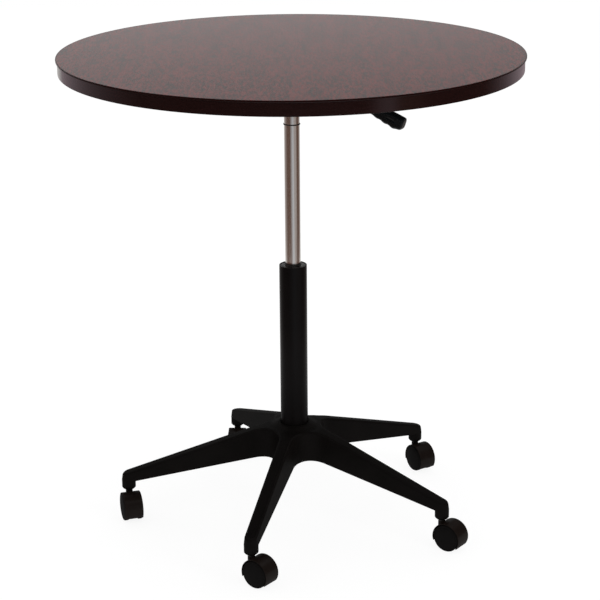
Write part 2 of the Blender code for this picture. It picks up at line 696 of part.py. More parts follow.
def make_lever(mechanism):
    tilt = guide("lever_tilt", mechanism, (LEVER_PIVOT_REACH, 0, lever_height))
    grip_along = Vector((cos(GRIP_ANGLE), 0, -sin(GRIP_ANGLE)))
    grip_start = Vector((GRIP_START_REACH - LEVER_PIVOT_REACH, 0, -GRIP_START_DROP))
    rod_end = grip_start + grip_along * GRIP_BORE_DEPTH
    path = rounded_path([
        (-LEVER_PIVOT_REACH - LEVER_INNER_OVERHANG, 0, 0),
        (LEVER_BEND_REACH - LEVER_PIVOT_REACH, 0, 0),
        tuple(grip_start),
        tuple(rod_end),
    ], LEVER_BEND_RADIUS)
    curve = bpy.data.curves.new("lever_rod", "CURVE")
    curve.dimensions = "3D"
    curve.bevel_depth = lever_rod_radius
    curve.bevel_resolution = 3
    curve.use_fill_caps = True
    spline = curve.splines.new("POLY")
    spline.points.add(len(path) - 1)
    for point, place_on_path in zip(spline.points, path):
        point.co = (*place_on_path, 1)
    blank = bpy.data.objects.new("lever_rod_curve", curve)
    CUTTERS.objects.link(blank)
    rod_shape = baked(blank)
    bpy.data.objects.remove(blank)
    weld(rod_shape)
    rod = place("lever_rod", smooth(rod_shape), STEEL, tilt)
    cross_bore = rod_mesh("lever_cross_bore", pin_radius + SEAT_GAP, -LEVER_ROD_DIAMETER,
                          LEVER_ROD_DIAMETER)
    carve(rod, cutter("lever_cross_bore", cross_bore, tilt, (0, 0, 0), (pi / 2, 0, 0)))

    stations = [GRIP_LENGTH * i / 16 for i in range(15)]
    stations += [GRIP_LENGTH - GRIP_END_ROUND * share for share in (0.45, 0.15, 0.0)]
    rings = []
    for along in stations:
        above, below, wide = grip_half_sizes(along)
        centre = grip_start + grip_along * along
        upward = Vector((sin(GRIP_ANGLE), 0, cos(GRIP_ANGLE)))
        ring = []
        for step in range(14):
            angle = 2 * pi * step / 14
            side = cos(angle)
            rise = sin(angle)
            squared = max(abs(side), abs(rise)) ** -0.45
            reach = above if rise > 0 else below
            ring.append(centre + Vector((0, side * squared * wide, 0)) + upward * (rise * squared * reach))
        rings.append(ring)
    grip = place("lever_handle", lofted_mesh("lever_handle", rings), GRIP_PLASTIC, tilt)
    bore = rod_mesh("grip_bore", lever_rod_radius + SEAT_GAP, -LEVER_ROD_DIAMETER,
                    GRIP_BORE_DEPTH + SEAT_GAP, SMALL_FACETS)
    carve(grip, cutter("grip_bore", bore, tilt, grip_start, (0, pi / 2 + GRIP_ANGLE, 0)))

    pin_half = PAN_WIDTH / 2 + PIVOT_PIN_PROUD
    place("lever_pivot_pin", rod_mesh("lever_pivot_pin", pin_radius, -pin_half, pin_half), STEEL,
          mechanism, (LEVER_PIVOT_REACH, 0, lever_height), (pi / 2, 0, 0))


# Five-star base: five drafted arms that run together round the hub, a socket under each end

def arm_half_width(reach):
    """Half the arm's width at its foot, with the fillet that runs into the next arm."""
    share = (reach - ARM_SHOULDER_RADIUS) / (STEM_CIRCLE_RADIUS - ARM_SHOULDER_RADIUS)
    half = ARM_ROOT_WIDTH / 2 + (ARM_TIP_WIDTH - ARM_ROOT_WIDTH) / 2 * max(share, 0.0)
    if reach < fillet_x:
        across = fillet_x - max(reach, fillet_inner)
        half = max(half, fillet_y - sqrt(max(WEB_FILLET ** 2 - across ** 2, 0.0)))
    return half


def arm_top(reach):
    """Height of the arm's back: flat at the hub, a steeper shoulder, then one straight slope."""
    if reach < ARM_ROOT_RADIUS:
        return ARM_ROOT_TOP + (ARM_ROOT_RADIUS - reach) * 0.03
    if reach < ARM_SHOULDER_RADIUS:
        share = (reach - ARM_ROOT_RADIUS) / (ARM_SHOULDER_RADIUS - ARM_ROOT_RADIUS)
        return ARM_ROOT_TOP + (ARM_SHOULDER_TOP - ARM_ROOT_TOP) * share
    share = (reach - ARM_SHOULDER_RADIUS) / (STEM_CIRCLE_RADIUS - ARM_SHOULDER_RADIUS)
    return ARM_SHOULDER_TOP + (ARM_TIP_TOP - ARM_SHOULDER_TOP) * share


def arm_bottom(reach):
    share = (reach - ARM_ROOT_RADIUS) / (STEM_CIRCLE_RADIUS - ARM_ROOT_RADIUS)
    return ARM_ROOT_BOTTOM + (ARM_TIP_BOTTOM - ARM_ROOT_BOTTOM) * share


def arm_ring(reach, half, top, bottom):
    """The arm's section: upright sides with draft and rounded upper corners."""
    corner = min(ARM_TOP_CORNER, half * 0.4, (top - bottom) * 0.4)
    foot = min(ARM_BOTTOM_CORNER, half * 0.2)
    draft = min(ARM_DRAFT * (top - bottom) / (ARM_ROOT_TOP - ARM_ROOT_BOTTOM), half * 0.5)
    side = [(half - foot, bottom), (half, bottom + foot)]
    for step in range(4):
        angle = pi / 2 * step / 3
        side.append((half - draft - corner + corner * cos(angle), top - corner + corner * sin(angle)))
    ring = [(reach, y, z) for y, z in side]
    ring += [(reach, -y, z) for y, z in reversed(side)]
    return ring


def make_star_base():
    bore_radius = column_radius + SEAT_GAP
    bore_foot = column_foot_radius + SEAT_GAP
    stations = [bore_radius + HUB_WALL_AT_ARM, fillet_inner]
    stations += [fillet_inner + (fillet_x - fillet_inner) * share for share in (0.08, 0.22, 0.42, 0.68, 1.0)]
    stations += [fillet_x + (STEM_CIRCLE_RADIUS - fillet_x) * share for share in (0.35, 0.7, 1.0)]
    rings = [arm_ring(x, arm_half_width(x), arm_top(x), arm_bottom(x)) for x in stations]
    tip_half = arm_half_width(STEM_CIRCLE_RADIUS)
    for degrees in (22, 42, 60, 76):
        angle = radians(degrees)
        reach = STEM_CIRCLE_RADIUS + nose_length * sin(angle)
        top = ARM_TIP_TOP - NOSE_DROP * (1 - cos(angle)) - 0.33 * nose_length * sin(angle)
        rings.append(arm_ring(reach, tip_half * cos(angle), top, ARM_TIP_BOTTOM))
    arm = lofted_mesh("arm_blank", rings)

    hub_radius = HUB_DIAMETER / 2
    base = place("star_base", turned_mesh("star_base", [
        (HUB_CROWN_DIAMETER / 2, HUB_TOP),
        (hub_radius, HUB_EDGE_TOP),
        (hub_radius, HUB_BOTTOM),
        (bore_foot, HUB_BOTTOM),
        (bore_foot, COLUMN_FOOT_HEIGHT),
        (bore_radius, recess_bottom),
        (HUB_RECESS_DIAMETER / 2, recess_bottom),
        (HUB_RECESS_DIAMETER / 2, HUB_TOP),
    ], TUBE_FACETS), BLACK_NYLON)
    socket = turned_mesh("socket_blank", [
        (0, ARM_TIP_BOTTOM + SOCKET_CHAMFER),
        (socket_radius, ARM_TIP_BOTTOM + SOCKET_CHAMFER),
        (socket_radius, SOCKET_BOTTOM + SOCKET_CHAMFER),
        (socket_radius - SOCKET_CHAMFER, SOCKET_BOTTOM),
        (0, SOCKET_BOTTOM),
    ], RING_FACETS)
    bore = rod_mesh("stem_bore", stem_radius + SEAT_GAP, SOCKET_BOTTOM - SOCKET_CHAMFER,
                    SOCKET_BOTTOM + SOCKET_DEPTH, SMALL_FACETS)
    angles = [FIRST_ARM_ANGLE + 2 * pi * i / ARM_COUNT for i in range(ARM_COUNT)]
    ends = [(STEM_CIRCLE_RADIUS * cos(angle), STEM_CIRCLE_RADIUS * sin(angle), 0) for angle in angles]
    blanks = [cutter(f"arm_blank_{number}", arm, None, (0, 0, 0), (0, 0, angle))
              for number, angle in enumerate(angles, 1)]
    blanks += [cutter(f"socket_blank_{number}", socket, None, end) for number, end in enumerate(ends, 1)]
    carve_all(base, "star_base_blanks", blanks, "UNION")
    bores = [cutter(f"stem_bore_{number}", bore, None, end) for number, end in enumerate(ends, 1)]
    carve_all(base, "star_base_bores", bores)
    return angles


# Casters: stem held by a grip ring in the arm's socket, hood, axle and two wheels

def hood_mesh():
    """Cover over both wheels, the web that holds the axle, and the boss for the stem's foot.

    It is drawn in the wheel's plane: X runs from the stem to the trailing side.
    """
    outer = hood_inner_radius + HOOD_WALL
    angles = [HOOD_FRONT_ANGLE + (HOOD_BACK_ANGLE - HOOD_FRONT_ANGLE) * i / HOOD_STEPS
              for i in range(HOOD_STEPS + 1)]
    arc_out = [(TRAIL + outer * cos(a), wheel_radius + outer * sin(a)) for a in angles]
    arc_in = [(TRAIL + hood_inner_radius * cos(a), wheel_radius + hood_inner_radius * sin(a)) for a in angles]
    cover = plate_mesh("hood_cover", arc_out + arc_in[::-1], 2 * (wheel_outer_face - HOOD_SIDE_STEP))

    middle = hood_inner_radius + HOOD_WALL / 2
    arc_middle = [(TRAIL + middle * cos(a), wheel_radius + middle * sin(a)) for a in angles]
    hub_low = wheel_radius - 3 * axle_radius
    web_outline = arc_middle + [(TRAIL, hub_low)]
    web = plate_mesh("hood_web", web_outline, WHEEL_SPACING - 2 * WEB_SIDE_GAP)

    blank = bpy.data.objects.new("hood_blank", cover)
    CUTTERS.objects.link(blank)
    upright = (pi / 2, 0, 0)
    tools = []
    for tool, operation in (
            (cutter("hood_web", web), "UNION"),
            (cutter("hood_boss", rod_mesh("hood_boss", STEM_BOSS_DIAMETER / 2, -STEM_BOSS_TOP,
                                          -wheel_radius, RING_FACETS),
                    None, (0, 0, 0), upright), "UNION"),
            (cutter("hood_axle_bore", rod_mesh("hood_axle_bore", axle_radius + SEAT_GAP, -WHEEL_SPACING,
                                               WHEEL_SPACING), None, (TRAIL, wheel_radius, 0)),
             "DIFFERENCE"),
            (cutter("hood_stem_bore", rod_mesh("hood_stem_bore", stem_foot_radius + SEAT_GAP,
                                               -STEM_BOSS_TOP - HOOD_WALL,
                                               -STEM_BOSS_TOP + STEM_FOOT_LENGTH + SEAT_GAP),
                    None, (0, 0, 0), upright), "DIFFERENCE")):
        carve(blank, tool, operation)
        tools.append(tool)
    mesh = baked(blank)
    for used in [blank] + tools:
        bpy.data.objects.remove(used)
    mesh.name = "caster_hood"
    return smooth(mesh)


def make_casters(angles):
    stem_top = SOCKET_BOTTOM + STEM_LENGTH_IN_SOCKET
    ring_top = stem_top - GRIP_RING_BELOW_TOP
    ring_bottom = ring_top - GRIP_RING_HEIGHT
    neck = stem_radius - SEAT_GAP - GRIP_RING_WALL
    collar_bottom = STEM_BOSS_TOP + SEAT_GAP
    collar_top = collar_bottom + STEM_COLLAR_HEIGHT
    stem = turned_mesh("caster_stem", [
        (0, stem_top),
        (stem_radius, stem_top),
        (stem_radius, ring_top + SEAT_GAP),
        (neck, ring_top + SEAT_GAP),
        (neck, ring_bottom - SEAT_GAP),
        (stem_radius, ring_bottom - SEAT_GAP),
        (stem_radius, collar_top),
        (STEM_COLLAR_DIAMETER / 2, collar_top),
        (STEM_COLLAR_DIAMETER / 2, collar_bottom),
        (stem_foot_radius, collar_bottom),
        (stem_foot_radius, STEM_BOSS_TOP - STEM_FOOT_LENGTH),
        (0, STEM_BOSS_TOP - STEM_FOOT_LENGTH),
    ], SMALL_FACETS)
    ring = turned_mesh("caster_grip_ring", ring_outline(
        neck + SEAT_GAP + GRIP_RING_WALL, neck + SEAT_GAP, ring_bottom, ring_top), SMALL_FACETS)
    axle_half = wheel_outer_face - AXLE_END_CAP - SEAT_GAP
    axle = rod_mesh("caster_axle", axle_radius, -axle_half, axle_half)
    inner_face = WHEEL_SPACING / 2
    face_radius = wheel_radius - WHEEL_CORNER
    bore = axle_radius + SEAT_GAP
    wheel = turned_mesh("caster_wheel", [
        (0, wheel_outer_face + WHEEL_FACE_DOME),
        (face_radius / 2, wheel_outer_face + WHEEL_FACE_DOME * 3 / 4),
        (face_radius, wheel_outer_face),
        (wheel_radius, wheel_outer_face - WHEEL_CORNER),
        (wheel_radius, inner_face + WHEEL_CORNER / 2),
        (wheel_radius - WHEEL_CORNER / 2, inner_face),
        (bore, inner_face),
        (bore, wheel_outer_face - AXLE_END_CAP),
        (0, wheel_outer_face - AXLE_END_CAP),
    ], WHEEL_FACETS)
    hood = hood_mesh()
    upright = (pi / 2, 0, 0)
    for number, (angle, trail) in enumerate(zip(angles, CASTER_TRAILS), 1):
        name = f"caster_{number}_"
        end = (STEM_CIRCLE_RADIUS * cos(angle), STEM_CIRCLE_RADIUS * sin(angle), 0)
        swivel = guide(name + "swivel", None, end, trail)
        place(name + "stem", stem, STEEL, swivel)
        place(name + "hood", hood, BLACK_NYLON, swivel, (0, 0, 0), upright)
        place(name + "axle", axle, STEEL, swivel, (TRAIL, 0, wheel_radius), upright)
        place(name + "wheel_right", wheel, BLACK_NYLON, swivel, (TRAIL, 0, wheel_radius), upright)
        place(name + "wheel_left", wheel, BLACK_NYLON, swivel, (TRAIL, 0, wheel_radius), (-pi / 2, 0, 0))
        place(name + "grip_ring", ring, STEEL, None, end)


star_angles = make_star_base()
make_casters(star_angles)
make_column()
rod_swivel = make_rod()
lift = guide("lift", rod_swivel)
mechanism = guide("mechanism", lift, (0, 0, 0), LEVER_AZIMUTH)
make_pressure_tube(lift)
make_mounting_plate(mechanism)
make_lever(mechanism)
make_tabletop(lift, mechanism)
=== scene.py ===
"""Looks of a round laminate table on a gas lift and a five-armed caster base.

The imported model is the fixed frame, in metres with +Z up. Each section dresses one piece of the
table, in the order in which it is put together from the floor up.
"""

import bmesh
import bpy
import numpy as np
from mathutils import Matrix


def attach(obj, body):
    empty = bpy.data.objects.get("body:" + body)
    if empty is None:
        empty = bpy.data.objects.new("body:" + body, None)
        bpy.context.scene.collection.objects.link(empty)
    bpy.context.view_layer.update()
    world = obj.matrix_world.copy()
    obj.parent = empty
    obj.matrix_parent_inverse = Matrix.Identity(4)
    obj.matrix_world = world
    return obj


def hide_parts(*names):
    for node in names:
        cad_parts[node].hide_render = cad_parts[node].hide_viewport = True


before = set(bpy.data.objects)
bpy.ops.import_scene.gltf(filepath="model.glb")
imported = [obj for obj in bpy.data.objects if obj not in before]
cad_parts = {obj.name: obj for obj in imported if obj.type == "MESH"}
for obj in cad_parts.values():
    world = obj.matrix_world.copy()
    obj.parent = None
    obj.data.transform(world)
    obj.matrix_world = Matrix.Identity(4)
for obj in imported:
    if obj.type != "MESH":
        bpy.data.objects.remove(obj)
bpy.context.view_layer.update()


# Star base: one moulding of black glass-filled nylon, five channel-shaped arms that run together
# round a boss bored for the column. Each arm ends in a round socket for a caster's stem, and ribs
# across the open underside stiffen it. The mould leaves a fine satin grain.

ARM_ANGLES = np.radians(183.5 + 72 * np.arange(5))
STEM_CIRCLE = 0.3095
NOSE_LENGTH = 0.0129
ROOT_HALF_WIDTH = 0.0165
TIP_HALF_WIDTH = 0.0129
SHOULDER_REACH = 0.076
WEB_FILLET = 0.038
ARM_WALL = 0.0032
BACK_CORNER = 0.0045
NOSE_CORNER = 0.0085
ROOT_DRAFT = 0.0045
ROOT_DEPTH = 0.053
HUB_RADIUS = 0.050
HUB_FOOT = 0.1178
TIP_FOOT = 0.0700
CROWN_RADIUS = 0.0292
CROWN_HEIGHT = 0.1775
RECESS_FLOOR = 0.1735
BOSS_FOOT = 0.1155
COLUMN_FOOT = 0.1240
RECESS_RADIUS = 0.0260
COLUMN_SEAT = 0.0253
SOCKET_RADIUS = 0.0127
SOCKET_BOTTOM = 0.054
RIB_REACHES = (0.098, 0.140, 0.182, 0.224, 0.264)


def linear(code):
    """Linear colour of an sRGB hex code: ((c + 0.055) / 1.055) ** 2.4, or c / 12.92 near black."""
    channels = np.array([int(code[i:i + 2], 16) for i in (0, 2, 4)]) / 255
    curved = ((channels + 0.055) / 1.055) ** 2.4
    return (*np.where(channels > 0.04045, curved, channels / 12.92).tolist(), 1.0)


def set_sockets(node, inputs):
    """Give a node's inputs, found by name or by number, their values or their links."""
    for name, value in inputs.items():
        if isinstance(value, bpy.types.NodeSocket):
            node.id_data.links.new(value, node.inputs[name])
        else:
            node.inputs[name].default_value = value


def add_node(tree, kind, inputs=None, **settings):
    """Add one shader node: settings are its properties, inputs its sockets' values or links."""
    made = tree.nodes.new(kind)
    for name, value in settings.items():
        setattr(made, name, value)
    set_sockets(made, inputs or {})
    return made


def new_finish(name):
    """A material with its Principled shader: the tree, the shader and the piece's own coordinates."""
    made = bpy.data.materials.new(name)
    made.use_nodes = True
    tree = made.node_tree
    where = add_node(tree, "ShaderNodeTexCoord").outputs["Object"]
    return made, tree, tree.nodes["Principled BSDF"], where


def skin(name, sheets, finish, body, stands_for=(), sharp=38):
    """One piece from sheets of points (rows, columns, 3): each four neighbours make a face, and
    points that meet are merged, which closes seams and poles."""
    points, faces, start = [], [], 0
    for sheet in sheets:
        rows, columns = sheet.shape[:2]
        corner = start + np.arange(rows - 1)[:, None] * columns + np.arange(columns - 1)[None, :]
        quads = np.stack([corner, corner + 1, corner + columns + 1, corner + columns], -1)
        points.append(sheet.reshape(-1, 3))
        faces.append(quads.reshape(-1, 4))
        start += rows * columns
    mesh = bpy.data.meshes.new(name)
    mesh.from_pydata(np.concatenate(points).tolist(), [], np.concatenate(faces).tolist())
    edit = bmesh.new()
    edit.from_mesh(mesh)
    bmesh.ops.remove_doubles(edit, verts=edit.verts, dist=2e-6)
    bmesh.ops.recalc_face_normals(edit, faces=edit.faces)
    edit.to_mesh(mesh)
    edit.free()
    mesh.shade_smooth()
    mesh.set_sharp_from_angle(angle=np.radians(sharp))
    mesh.materials.append(finish)
    piece = bpy.data.objects.new(name, mesh)
    bpy.context.scene.collection.objects.link(piece)
    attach(piece, body)
    if stands_for:
        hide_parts(*stands_for)
    return piece


def turned(profile, centre=(0, 0, 0), along=(0, 0, 1), sides=96):
    """A profile of (radius, height) turned round a line: centre + height * along + radius * (cos t,
    sin t) across it, with t running once round. A profile that ends where it starts is a ring."""
    along = np.asarray(along, float) / np.linalg.norm(along)
    helper = np.array([1.0, 0, 0]) if abs(along[0]) < 0.9 else np.array([0, 1.0, 0])
    across = np.cross(along, helper)
    across /= np.linalg.norm(across)
    third = np.cross(along, across)
    t = np.linspace(0, 2 * np.pi, sides + 1)
    t[-1] = 0
    radius, height = np.asarray(profile, float).T
    ring = np.cos(t)[:, None] * across + np.sin(t)[:, None] * third
    return np.asarray(centre) + radius[:, None, None] * ring + height[:, None, None] * along


def rounded(corners, radius, steps=5):
    """A chain of (x, y) points with each inner corner replaced by an arc: a quadratic blend that
    starts and ends at most the radius from the corner and never past the middle of a side."""
    corners = np.asarray(corners, float)
    chain = [corners[0]]
    for before, corner, after in zip(corners, corners[1:], corners[2:]):
        back, ahead = before - corner, after - corner
        start = corner + back * min(radius / np.linalg.norm(back), 0.5)
        end = corner + ahead * min(radius / np.linalg.norm(ahead), 0.5)
        t = np.linspace(0, 1, steps)[:, None]
        chain.extend((1 - t) ** 2 * start + 2 * t * (1 - t) * corner + t ** 2 * end)
    chain.append(corners[-1])
    return np.array(chain)


def back_height(reach):
    """Height of the arms' back by distance from the axis: a straight-line chain, rounded by taking
    its mean over 9 mm."""
    chain_reach = [0.0, 0.0300, 0.0425, 0.056, 0.078, STEM_CIRCLE, 0.34]
    chain_height = [CROWN_HEIGHT, CROWN_HEIGHT, 0.1710, 0.1703, 0.1652, 0.0885, 0.0785]
    window = np.linspace(-0.0045, 0.0045, 9)
    return np.interp(reach[..., None] + window, chain_reach, chain_height).mean(-1)


def foot_height(reach):
    """Height of the arms' lower edge by distance from the axis: level at the hub, then straight."""
    return np.interp(reach, [0.0, HUB_RADIUS, STEM_CIRCLE], [HUB_FOOT, HUB_FOOT, TIP_FOOT])


def half_arm():
    """Half of one arm as a grid: u runs along its outline in plan, from the nose tip along the side
    and round the fillet to the line between two arms; v runs from the outline's foot up the drafted
    wall, over the rounded corner and across the back to the arm's middle line or the hub's crown.
    A second grid runs on under the rim, up inside the wall and across the channel's ceiling."""
    tilt = np.pi / 5
    centre_reach = (ROOT_HALF_WIDTH + WEB_FILLET) / np.sin(tilt)
    fx, fy = centre_reach * np.cos(tilt), centre_reach * np.sin(tilt)
    nose = np.linspace(np.pi / 2, 0, 15)[:-1]
    side = np.linspace(0, 1, 43)[:-1]
    sweep = np.linspace(0, 1, 25)
    side_x = STEM_CIRCLE + (fx - STEM_CIRCLE) * side
    side_y = TIP_HALF_WIDTH + (ROOT_HALF_WIDTH - TIP_HALF_WIDTH) * side
    turn = -np.pi / 2 - (np.pi / 2 - tilt) * sweep
    x = np.concatenate([STEM_CIRCLE + NOSE_LENGTH * np.sin(nose), side_x, fx + WEB_FILLET * np.cos(turn)])
    y = np.concatenate([TIP_HALF_WIDTH * np.cos(nose), side_y, fy + WEB_FILLET * np.sin(turn)])
    out_x = np.concatenate([np.sin(nose), 0 * side, -np.cos(turn)])
    out_y = np.concatenate([np.cos(nose), 0 * side + 1, -np.sin(turn)])
    plan, out = np.stack([x, y], -1), np.stack([out_x, out_y], -1)
    at_nose = np.concatenate([np.sin(nose) ** 2, 0 * side, 0 * sweep])
    middle_x = np.concatenate([STEM_CIRCLE + 0.0012 * np.sin(nose), side_x, np.interp(
        sweep, [0, 0.55, 1], [fx, CROWN_RADIUS, CROWN_RADIUS])])
    middle_turn = np.concatenate([0 * nose, 0 * side, np.interp(sweep, [0, 0.55, 1], [0, 0, tilt])])
    middle = np.stack([middle_x * np.cos(middle_turn), middle_x * np.sin(middle_turn)], -1)

    reach = np.hypot(x, y)
    foot = foot_height(reach)
    corner = BACK_CORNER + (NOSE_CORNER - BACK_CORNER) * at_nose
    draft = ROOT_DRAFT * np.clip((back_height(reach) - foot) / ROOT_DEPTH, 0, 1)
    edge = plan - out * (draft + corner)[:, None]
    top = back_height(np.hypot(edge[:, 0], edge[:, 1]))

    wall = np.linspace(0, 1, 9)[None, :]
    foot_round = 0.0009
    in_wall = draft[:, None] * wall
    z_wall = foot[:, None] + foot_round + (top - corner - foot - foot_round)[:, None] * wall
    bend = np.linspace(0, np.pi / 2, 9)[None, 1:]
    in_bend = draft[:, None] + corner[:, None] * (1 - np.cos(bend))
    z_bend = (top - corner)[:, None] + corner[:, None] * np.sin(bend)
    inset = np.concatenate([in_wall, in_bend], 1)
    height = np.concatenate([z_wall, z_bend], 1)
    flank = plan[:, None] - out[:, None] * inset[..., None]
    share = np.linspace(0, 1, 14)[None, 1:, None]
    across = edge[:, None] + (middle - edge)[:, None] * share
    z_across = back_height(np.hypot(across[..., 0], across[..., 1]))
    outside = np.concatenate([
        np.concatenate([flank, height[..., None]], -1),
        np.concatenate([across, z_across[..., None]], -1)], 1)

    rim_in = plan - out * ARM_WALL
    ceiling = np.minimum(top, 0.170) - ARM_WALL
    ceiling_in = np.minimum(draft + corner + ARM_WALL, 0.0105)
    roof = plan - out * ceiling_in[:, None]
    rows = [
        (plan, foot + foot_round),
        (plan - out * foot_round, foot),
        (rim_in, foot),
        (rim_in - out * (draft * 0.6)[:, None], ceiling - 0.002),
    ]
    rows += [(roof + (middle - roof) * part, ceiling) for part in np.linspace(0, 1, 5)]
    inside = np.stack([np.concatenate([p, z[:, None]], -1) for p, z in rows], 1)
    return outside, inside


def about_column(angle):
    """The matrix that turns rows of points about the column's axis by an angle."""
    return np.array([[np.cos(angle), np.sin(angle), 0], [-np.sin(angle), np.cos(angle), 0], [0, 0, 1]])


def all_round(sheet):
    """The half arm's grid mirrored across the arm's middle line and turned to the five arms."""
    halves = (sheet, sheet * np.array([1, -1, 1]))
    return [half @ about_column(angle) for angle in ARM_ANGLES for half in halves]


def rib(reach, angle, thickness=0.0022):
    """A cross rib in an arm's channel: a thin upright plate from wall to wall, its foot 4 mm above
    the arm's edge and its top in the ceiling."""
    half = np.interp(reach, [SHOULDER_REACH, STEM_CIRCLE], [ROOT_HALF_WIDTH, TIP_HALF_WIDTH])
    half -= ARM_WALL * 0.6
    low = foot_height(np.array([reach]))[0] + 0.004
    high = back_height(np.array([reach]))[0] - ARM_WALL * 1.2
    top_half = half - ROOT_DRAFT * (high - low) / ROOT_DEPTH
    ring = np.array([[-half, low], [half, low], [top_half, high], [-top_half, high], [-half, low]])
    along = reach + thickness * np.array([-0.5, -0.5, 0.5, 0.5])
    scale = np.array([0, 1, 1, 0])[:, None]
    middle = np.array([0, (low + high) / 2])
    flat = middle + (ring[None] - middle) * scale[..., None]
    plate = np.concatenate([np.broadcast_to(along[:, None, None], flat.shape[:2] + (1,)), flat], -1)
    return plate @ about_column(angle)


# Nylon with glass fibre, moulded against an etched tool: near black, slightly warm, satin, with a
# grain under half a millimetre that is drawn at about 1 mm so that it shows.
nylon, tree, shader, where = new_finish("moulded_black_nylon")
grain = add_node(tree, "ShaderNodeTexNoise", {"Vector": where, "Scale": 900.0, "Detail": 3.0})
drift = add_node(tree, "ShaderNodeTexNoise", {"Vector": where, "Scale": 28.0, "Detail": 4.0})
tone = add_node(tree, "ShaderNodeValToRGB", {"Fac": drift.outputs["Fac"]})
tone.color_ramp.elements[0].color = linear("0c0b0a")
tone.color_ramp.elements[1].color = linear("161312")
sheen = add_node(tree, "ShaderNodeMapRange", {
    "Value": drift.outputs["Fac"], "To Min": 0.42, "To Max": 0.58})
bump = add_node(tree, "ShaderNodeBump", {
    "Height": grain.outputs["Fac"], "Strength": 0.25, "Distance": 0.0003})
set_sockets(shader, {
    "Base Color": tone.outputs["Color"], "Roughness": sheen.outputs["Result"],
    "Normal": bump.outputs["Normal"], "Specular IOR Level": 0.0, "Coat Weight": 0.07,
    "Coat Roughness": 0.42})

outside, inside = half_arm()
boss = turned(rounded([
    (0.0300, 0.1680), (0.0294, CROWN_HEIGHT), (RECESS_RADIUS, CROWN_HEIGHT), (RECESS_RADIUS, RECESS_FLOOR),
    (COLUMN_SEAT, RECESS_FLOOR), (0.0233, COLUMN_FOOT), (0.0233, BOSS_FOOT), (0.0290, BOSS_FOOT),
    (0.0300, 0.1680)], 0.0006, 3), sides=120)
sockets = []
for angle in ARM_ANGLES:
    end = (STEM_CIRCLE * np.cos(angle), STEM_CIRCLE * np.sin(angle), 0)
    sockets.append(turned(rounded([
        (0, 0.0790), (SOCKET_RADIUS - 0.0010, 0.0790), (SOCKET_RADIUS, TIP_FOOT),
        (SOCKET_RADIUS, SOCKET_BOTTOM + 0.0032), (SOCKET_RADIUS - 0.0032, SOCKET_BOTTOM),
        (0.0058, SOCKET_BOTTOM), (0.0058, SOCKET_BOTTOM + 0.003), (0, SOCKET_BOTTOM + 0.003),
    ], 0.0012, 4), end, sides=72))
ribs = [rib(reach, angle) for angle in ARM_ANGLES for reach in RIB_REACHES]
skin("star_base_moulding", all_round(outside) + all_round(inside) + [boss] + sockets + ribs, nylon,
     "base", ["star_base"])


# Casters: a nylon hood with a web between two moulded wheels, on a steel stem whose collar sits on
# the hood's boss. The wheels turn on an axle through the web. Their faces are smooth and slightly
# domed, with a fine gap to the hood round them.

CASTER_TRAILS = np.radians([-74, -38, -37, -59, -92])
TRAIL = 0.0184
WHEEL_RADIUS = 0.0250
WHEEL_INNER = 0.0080
WHEEL_OUTER = 0.0175
HOOD_INNER = 0.0258
HOOD_OUTER = 0.0273
HOOD_HALF = 0.0170
HOOD_FRONT = np.radians(199.5)
HOOD_BACK = np.radians(-35)
WEB_HALF = 0.0072
HOOD_BOSS_TOP = 0.0502
STEM_RADIUS = 0.0055
STEM_TOP = 0.0815
COLLAR_RADIUS = 0.0064
COLLAR_FOOT = 0.0506
COLLAR_TOP = 0.0537


def hood_sheets(stem, forward, sideways):
    """The hood's cover: a closed section across the wheels, with rounded side edges, carried along
    an arc round the axle; its ends shrink onto the section's middle. The web is the same arc's
    outline filled flat between the wheels, with its rim rounded."""
    wide = np.array([-1, -1, 1, 1, -1]) * HOOD_HALF
    deep = np.array([HOOD_INNER, HOOD_OUTER, HOOD_OUTER, HOOD_INNER, HOOD_INNER])
    section = rounded(np.stack([wide, deep], -1), 0.0011, 5)
    arc = HOOD_FRONT + (HOOD_BACK - HOOD_FRONT) * np.linspace(0, 1, 73)
    ends = np.concatenate([[arc[0]], [arc[0]], arc[1:-1], [arc[-1]], [arc[-1]]])
    shrink = np.ones(len(ends))
    shrink[[0, -1]] = 0
    middle = np.array([0, (HOOD_INNER + HOOD_OUTER) / 2])
    rows = middle + (section[None] - middle) * shrink[:, None, None]
    upright = np.array([0, 0, 1.0])
    radial = np.cos(ends)[:, None] * forward + np.sin(ends)[:, None] * upright
    axle = stem + forward * TRAIL + np.array([0, 0, WHEEL_RADIUS])
    cover = axle + rows[..., 1:] * radial[:, None] + rows[..., :1] * sideways

    turn = HOOD_FRONT + (HOOD_BACK - HOOD_FRONT) * np.linspace(0, 1, 41)
    reach = (HOOD_INNER + HOOD_OUTER) / 2
    outline = np.stack([reach * np.cos(turn), reach * np.sin(turn)], -1)
    outline = np.concatenate([outline, [[0.004, -0.0092], [-0.004, -0.0092]], outline[:1]])
    heart = np.array([0.0, 0.004])
    layers = []
    for part, side in ((0, -1), (0.97, -1), (1, -0.9), (1, 0.9), (0.97, 1), (0, 1)):
        flat = heart + (outline - heart) * part
        layers.append(axle + flat[:, :1] * forward + flat[:, 1:] * upright + sideways * side * WEB_HALF)
    return [cover, np.array(layers)]


